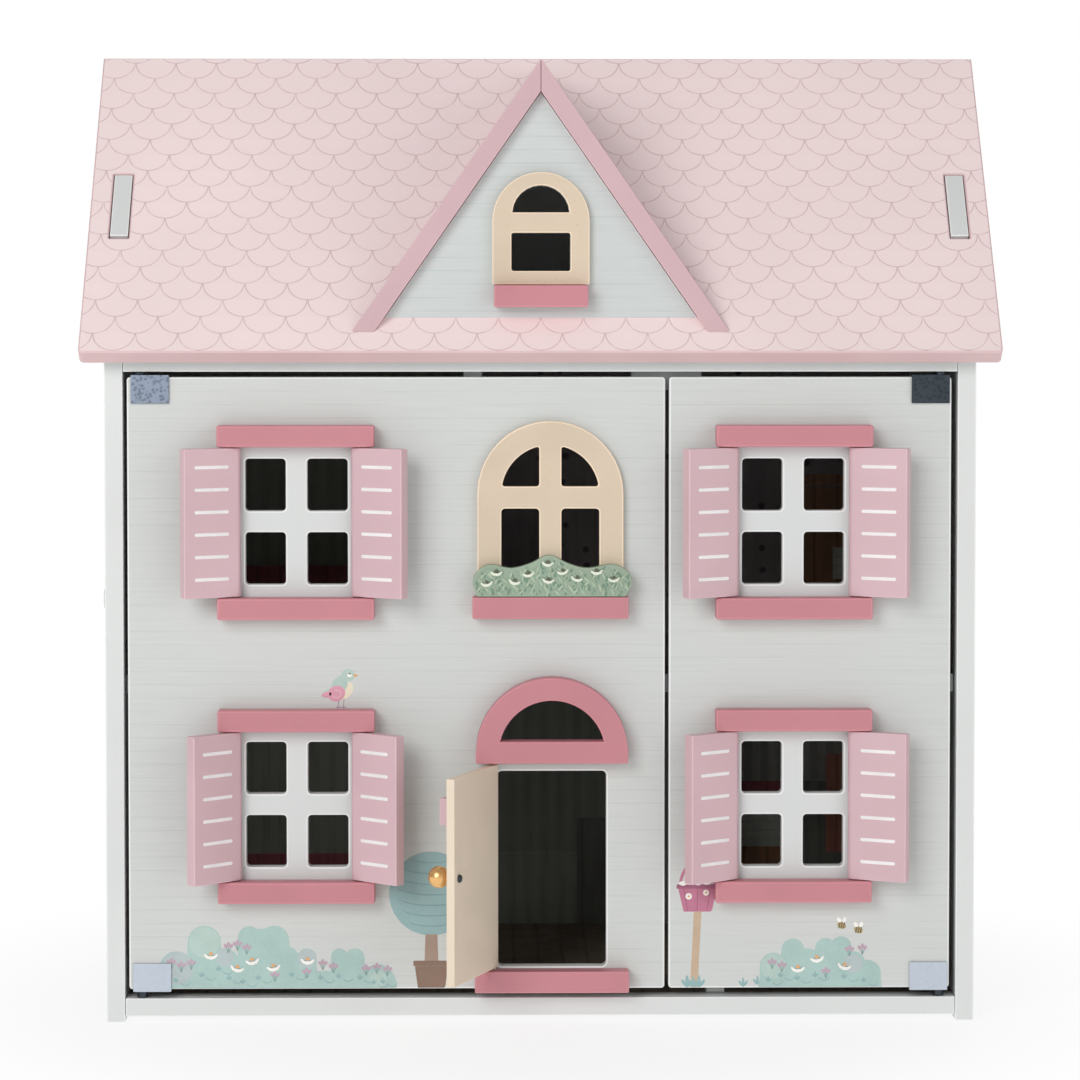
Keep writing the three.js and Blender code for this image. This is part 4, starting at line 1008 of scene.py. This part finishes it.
def lathe(name, profile, origin, axis, finish, body, replaced, around=48):
    # a profile of radius and height carried round the axis; both ends lie on the axis
    axis = np.array(axis, float)
    side = np.cross(axis, (0.0, 0.0, 1.0))
    third = np.cross(axis, side)
    profile = np.array(profile, float)
    inner = profile[1:-1]
    t = fullTurn(around)[:, None]
    ring = np.cos(t)[..., None] * side + np.sin(t)[..., None] * third
    points = origin + mm * (inner[None, :, :1] * ring + inner[None, :, 1:] * axis)
    ends = origin + mm * profile[[0, -1], 1:] * axis
    rows = len(inner)
    here = np.arange(around)[:, None] * rows
    there = (here + rows) % (around * rows)
    step = np.arange(rows - 1)
    quads = np.stack([here + step, there + step, there + step + 1, here + step + 1], -1)
    low, high = around * rows, around * rows + 1
    caps = np.concatenate([np.stack([there[:, 0], here[:, 0], 0 * here[:, 0] + low], -1),
                           np.stack([here[:, 0] + rows - 1, there[:, 0] + rows - 1,
                                     0 * here[:, 0] + high], -1)])
    mesh = meshOf(name, np.concatenate([points.reshape(-1, 3), ends]), quads, caps)
    smooth(mesh, 35.0)
    return showMesh(name, mesh, (finish,), body, replaced)


def knobAndScrew():
    outer, inner = leafFaces("front_door", "front_door_hinge")
    knob = nodePoints("door_knob")
    centre = (knob.min(0) + knob.max(0)) / 2.0
    if np.dot(centre - outer[0], outer[3]) < 0.0:
        outer, inner = inner, outer
    axis = outer[3]
    radius = (knob[:, 2].max() - knob[:, 2].min()) / 2.0 / mm
    foot = (knob @ axis).min()
    reach = ((knob @ axis).max() - foot) / mm
    base = centre + axis * (foot - centre @ axis)
    base[2] = centre[2]
    start = math.asin(2.2 / radius)
    turn = np.linspace(start, math.pi, 26)
    ball = np.stack([radius * np.sin(turn), reach - radius - radius * np.cos(turn)], -1)
    ball[-1, 0] = 0.0
    neck = [(0.0, 0.0), (3.6, 0.0), (3.6, 0.5), (3.0, 0.8), (2.3, 1.0)]
    lathe("brass_knob", [*neck, *ball], base, axis, "brass", "front_door", ("door_knob",))
    screw = nodePoints("knob_screw")
    headEnd = (screw @ axis).min()
    back = (screw.min(0) + screw.max(0)) / 2.0
    back = back + axis * (headEnd - back @ axis)
    back[2] = centre[2]
    head = [(0.0, 0.0), (1.2, 0.02), (1.9, 0.2), (2.35, 0.55), (2.6, 1.0), (2.6, 1.6), (1.3, 1.6),
            (1.3, ((screw @ axis).max() - headEnd) / mm), (0.0, ((screw @ axis).max() - headEnd) / mm)]
    lathe("door_screw", head, back, axis, "zincDarkShaded", "front_door", ("knob_screw",), 32)
    # the cross slot is not cut: two dark strips on the head stand for it, painted shade in the slot
    slotFace = plane(back, inner[1], inner[2])
    strokes("door_screw_slot_shade", [np.linspace((-1.5, 0.0), (1.5, 0.0), 5),
                                 np.linspace((0.0, -1.5), (0.0, 1.5), 5)],
            0.55, 0.06, slotFace, "inkOlive", "front_door", lift=-0.04)


knobAndScrew()
print("knob turned")

# ---- prints on the inner walls and floors

wallPrints = {
    "paperGreen": {"colour": (0.360, 0.370, 0.320), "mark": (0.400, 0.410, 0.355), "kind": "stripes"},
    "paperHall": {"colour": (0.200, 0.210, 0.180), "mark": (0.225, 0.235, 0.200), "kind": "stripes"},
    "paperDots": {"colour": (0.330, 0.290, 0.300), "mark": (0.110, 0.090, 0.110), "kind": "dots"},
    "paperTiles": {"colour": (0.420, 0.410, 0.380), "mark": (0.330, 0.325, 0.300), "kind": "stripes"},
    "panelRose": {"colour": (0.420, 0.110, 0.125), "mark": (0.330, 0.085, 0.100), "kind": "planks"},
    "panelBrown": {"colour": (0.380, 0.190, 0.100), "mark": (0.260, 0.120, 0.060), "kind": "planks"},
    "floorWood": {"colour": (0.200, 0.160, 0.120), "mark": (0.130, 0.100, 0.075), "kind": "planks"},
    "cupboard": {"colour": (0.120, 0.120, 0.105), "mark": (0.090, 0.090, 0.080), "kind": "planks"},
    "tilesGrey": {"colour": (0.640, 0.650, 0.600), "mark": (0.540, 0.550, 0.510), "kind": "tiles"},
    "curtain": {"colour": (0.560, 0.230, 0.170), "mark": (0.440, 0.170, 0.130), "kind": "planks"},
}


markWidths = {"stripes": 12.0 * mm, "planks": 17.0 * mm, "tiles": 6.5 * mm}


def wallPrint(name, s):
    material, tree, bsdf = startMaterial(name)
    axes = put(tree, "ShaderNodeSeparateXYZ", {0: ownCoordinates(tree)})
    x, z = axes.outputs[0], axes.outputs[2]
    if s["kind"] == "dots":
        spread = ownCoordinates(tree, scale=(1.0, 0.0, 1.0))
        cells = put(tree, "ShaderNodeTexVoronoi", {"Vector": spread, "Scale": 62.0, "Randomness": 0.35})
        mark = ramp(tree, cells.outputs["Distance"], 0.13, 0.2, 1.0, 0.0)
    else:
        width = markWidths[s["kind"]]
        way = z if s["kind"] == "tiles" else x
        part = fromMiddle(tree, way, width)
        mark = ramp(tree, part, 0.2, 0.3) if s["kind"] == "stripes" else ramp(tree, part, 0.42, 0.48)
    grain = noise(tree, ownCoordinates(tree, scale=(30.0, 4.0, 4.0)), 6.0, 4.0, 0.6)
    base = blendColour(tree, ramp(tree, grain, 0.3, 0.7), rgba(shade(s["colour"], 0.9)),
                       rgba(shade(s["colour"], 1.1)))
    finishSurface(tree, bsdf, blendColour(tree, mark, base, rgba(s["mark"])), 0.6)
    return material


for printName, printSet in wallPrints.items():
    mats[printName] = wallPrint(printName, printSet)

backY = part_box("back_panel")[0].y
floorUnder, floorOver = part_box("first_floor_board")
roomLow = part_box("base_board")[1].z / mm
roomTop, roomHigh = floorUnder.z / mm, floorOver.z / mm
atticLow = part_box("attic_floor_board")[0].z / mm
leftX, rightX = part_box("side_wall_left")[1].x / mm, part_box("side_wall_right")[0].x / mm
lowerWall, upperWall = ([corner.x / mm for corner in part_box(f"{level}_partition")]
                        for level in ("lower", "upper"))
hallX = -60.0  # where the hall's paper starts
wainscot = 52.0  # height of the boarding printed on the walls
innerPrints = [
    # name, print, from and to in x, from and to in z, lift off the back panel
    ("lower_left_paper", "paperGreen", leftX, hallX, roomLow + wainscot, roomTop, 0.0),
    ("hall_upper_paper", "paperHall", hallX, lowerWall[0], roomLow + wainscot, roomTop, 0.0),
    ("lower_left_boarding", "panelRose", leftX, hallX, roomLow, roomLow + wainscot, 0.0),
    ("hall_paper", "paperHall", hallX, lowerWall[0], roomLow, roomLow + wainscot, 0.0),
    ("hall_cupboard", "cupboard", 30.0, 70.0, roomLow, roomLow + 78.0, 0.3),
    ("lower_right_paper", "paperTiles", lowerWall[1], rightX, 121.0, roomTop, 0.0),
    ("lower_right_shelf", "panelRose", lowerWall[1], 190.0, 108.0, 121.0, 0.0),
    ("lower_right_stove", "tilesGrey", lowerWall[1], 190.0, 72.6, 108.0, 0.0),
    ("lower_right_boarding", "panelBrown", lowerWall[1], 190.0, roomLow, 72.6, 0.0),
    ("lower_right_side", "paperHall", 190.0, rightX, roomLow, 121.0, 0.0),
    ("lower_right_curtain", "curtain", 213.0, 240.0, 68.0, 141.0, 0.3),
    ("upper_left_paper", "paperGreen", leftX, upperWall[0], roomHigh + wainscot, atticLow, 0.0),
    ("upper_left_boarding", "panelRose", leftX, upperWall[0], roomHigh, roomHigh + wainscot, 0.0),
    ("upper_right_paper", "paperDots", upperWall[1], rightX, roomHigh, atticLow, 0.0),
    ("upper_right_cupboard", "panelBrown", 188.0, 262.0, roomHigh, 337.6, 0.3),
    ("upper_right_shelf", "panelBrown", 188.0, 262.0, 338.8, 346.6, 0.3),
    ("upper_right_drawer", "tilesGrey", 217.5, 240.0, 269.7, 293.0, 0.6),
]


sheetGap = 0.05  # between a printed sheet and its neighbours
floorGap = 0.4  # between a printed floor and the walls


def rectangle(x0, y0, x1, y1):
    return np.array([(x0, y0), (x1, y0), (x1, y1), (x0, y1)], float)


def printSheet(name, finish, x0, x1, z0, z1, lift):
    # a thin sheet on the back panel, a little inside its room's edges
    face = plane((0.0, backY, 0.0), (1.0, 0.0, 0.0), (0.0, 0.0, 1.0))
    sheet = rectangle(x0 + sheetGap, z0 + sheetGap, x1 - sheetGap, z1 - sheetGap)
    blobs(name, [sheet], 0.2, face, finish, "carcass", rim=0.01, rings=1, lift=lift + 0.02)


for row in innerPrints:
    printSheet(*row)


def floorSheet(name, top, x0, x1):
    # printed boards on the top of a floor, from behind the front panels to the back panel
    face = plane((0.0, 0.0, top * mm), (1.0, 0.0, 0.0), (0.0, 1.0, 0.0))
    front = floorUnder.y / mm + 1.0
    back = backY / mm - 0.6
    sheet = rectangle(x0 + floorGap, front, x1 - floorGap, back)
    blobs(name, [sheet], 0.15, face, "floorWood", "carcass", rim=0.01, rings=1, lift=0.02)


for storey, floorTop, wallX in (("lower", roomLow, lowerWall), ("upper", roomHigh, upperWall)):
    floorSheet(f"{storey}_left_floor", floorTop, leftX, wallX[0])
    floorSheet(f"{storey}_right_floor", floorTop, wallX[1], rightX)
print("rooms papered")

# ---- floor


def makeFloor(s):
    # a round plane: radius out from the middle by angle round it
    turns = fullTurn(s["sides"])
    rim = np.stack([np.cos(turns), np.sin(turns), 0.0 * turns], 1) * s["radius"]
    mesh = bpy.data.meshes.new("floor")
    mesh.from_pydata(rim.tolist(), [], [list(range(s["sides"]))])
    material, tree, bsdf = startMaterial("paleFloor")
    tone = ramp(tree, noise(tree, ownCoordinates(tree), 30.0), 0.3, 0.7, 0.5, 0.56)
    feed(tree, bsdf.inputs["Base Color"], s["colour"])
    feed(tree, bsdf.inputs["Roughness"], tone)
    far = put(tree, "ShaderNodeVectorMath", {0: ownCoordinates(tree)}, operation="LENGTH")
    plain = put(tree, "ShaderNodeEmission", {"Strength": 1.0})
    mix = put(tree, "ShaderNodeMixShader", {
        0: ramp(tree, far.outputs["Value"], s["plainFrom"], s["plainTo"], s["glow"], 1.0),
        1: bsdf.outputs[0], 2: plain.outputs[0]})
    tree.links.new(mix.outputs[0], tree.nodes["Material Output"].inputs[0])
    mesh.materials.append(material)
    floor = bpy.data.objects.new("floor", mesh)
    scene.collection.objects.link(floor)


makeFloor(floorSet)

print("done")
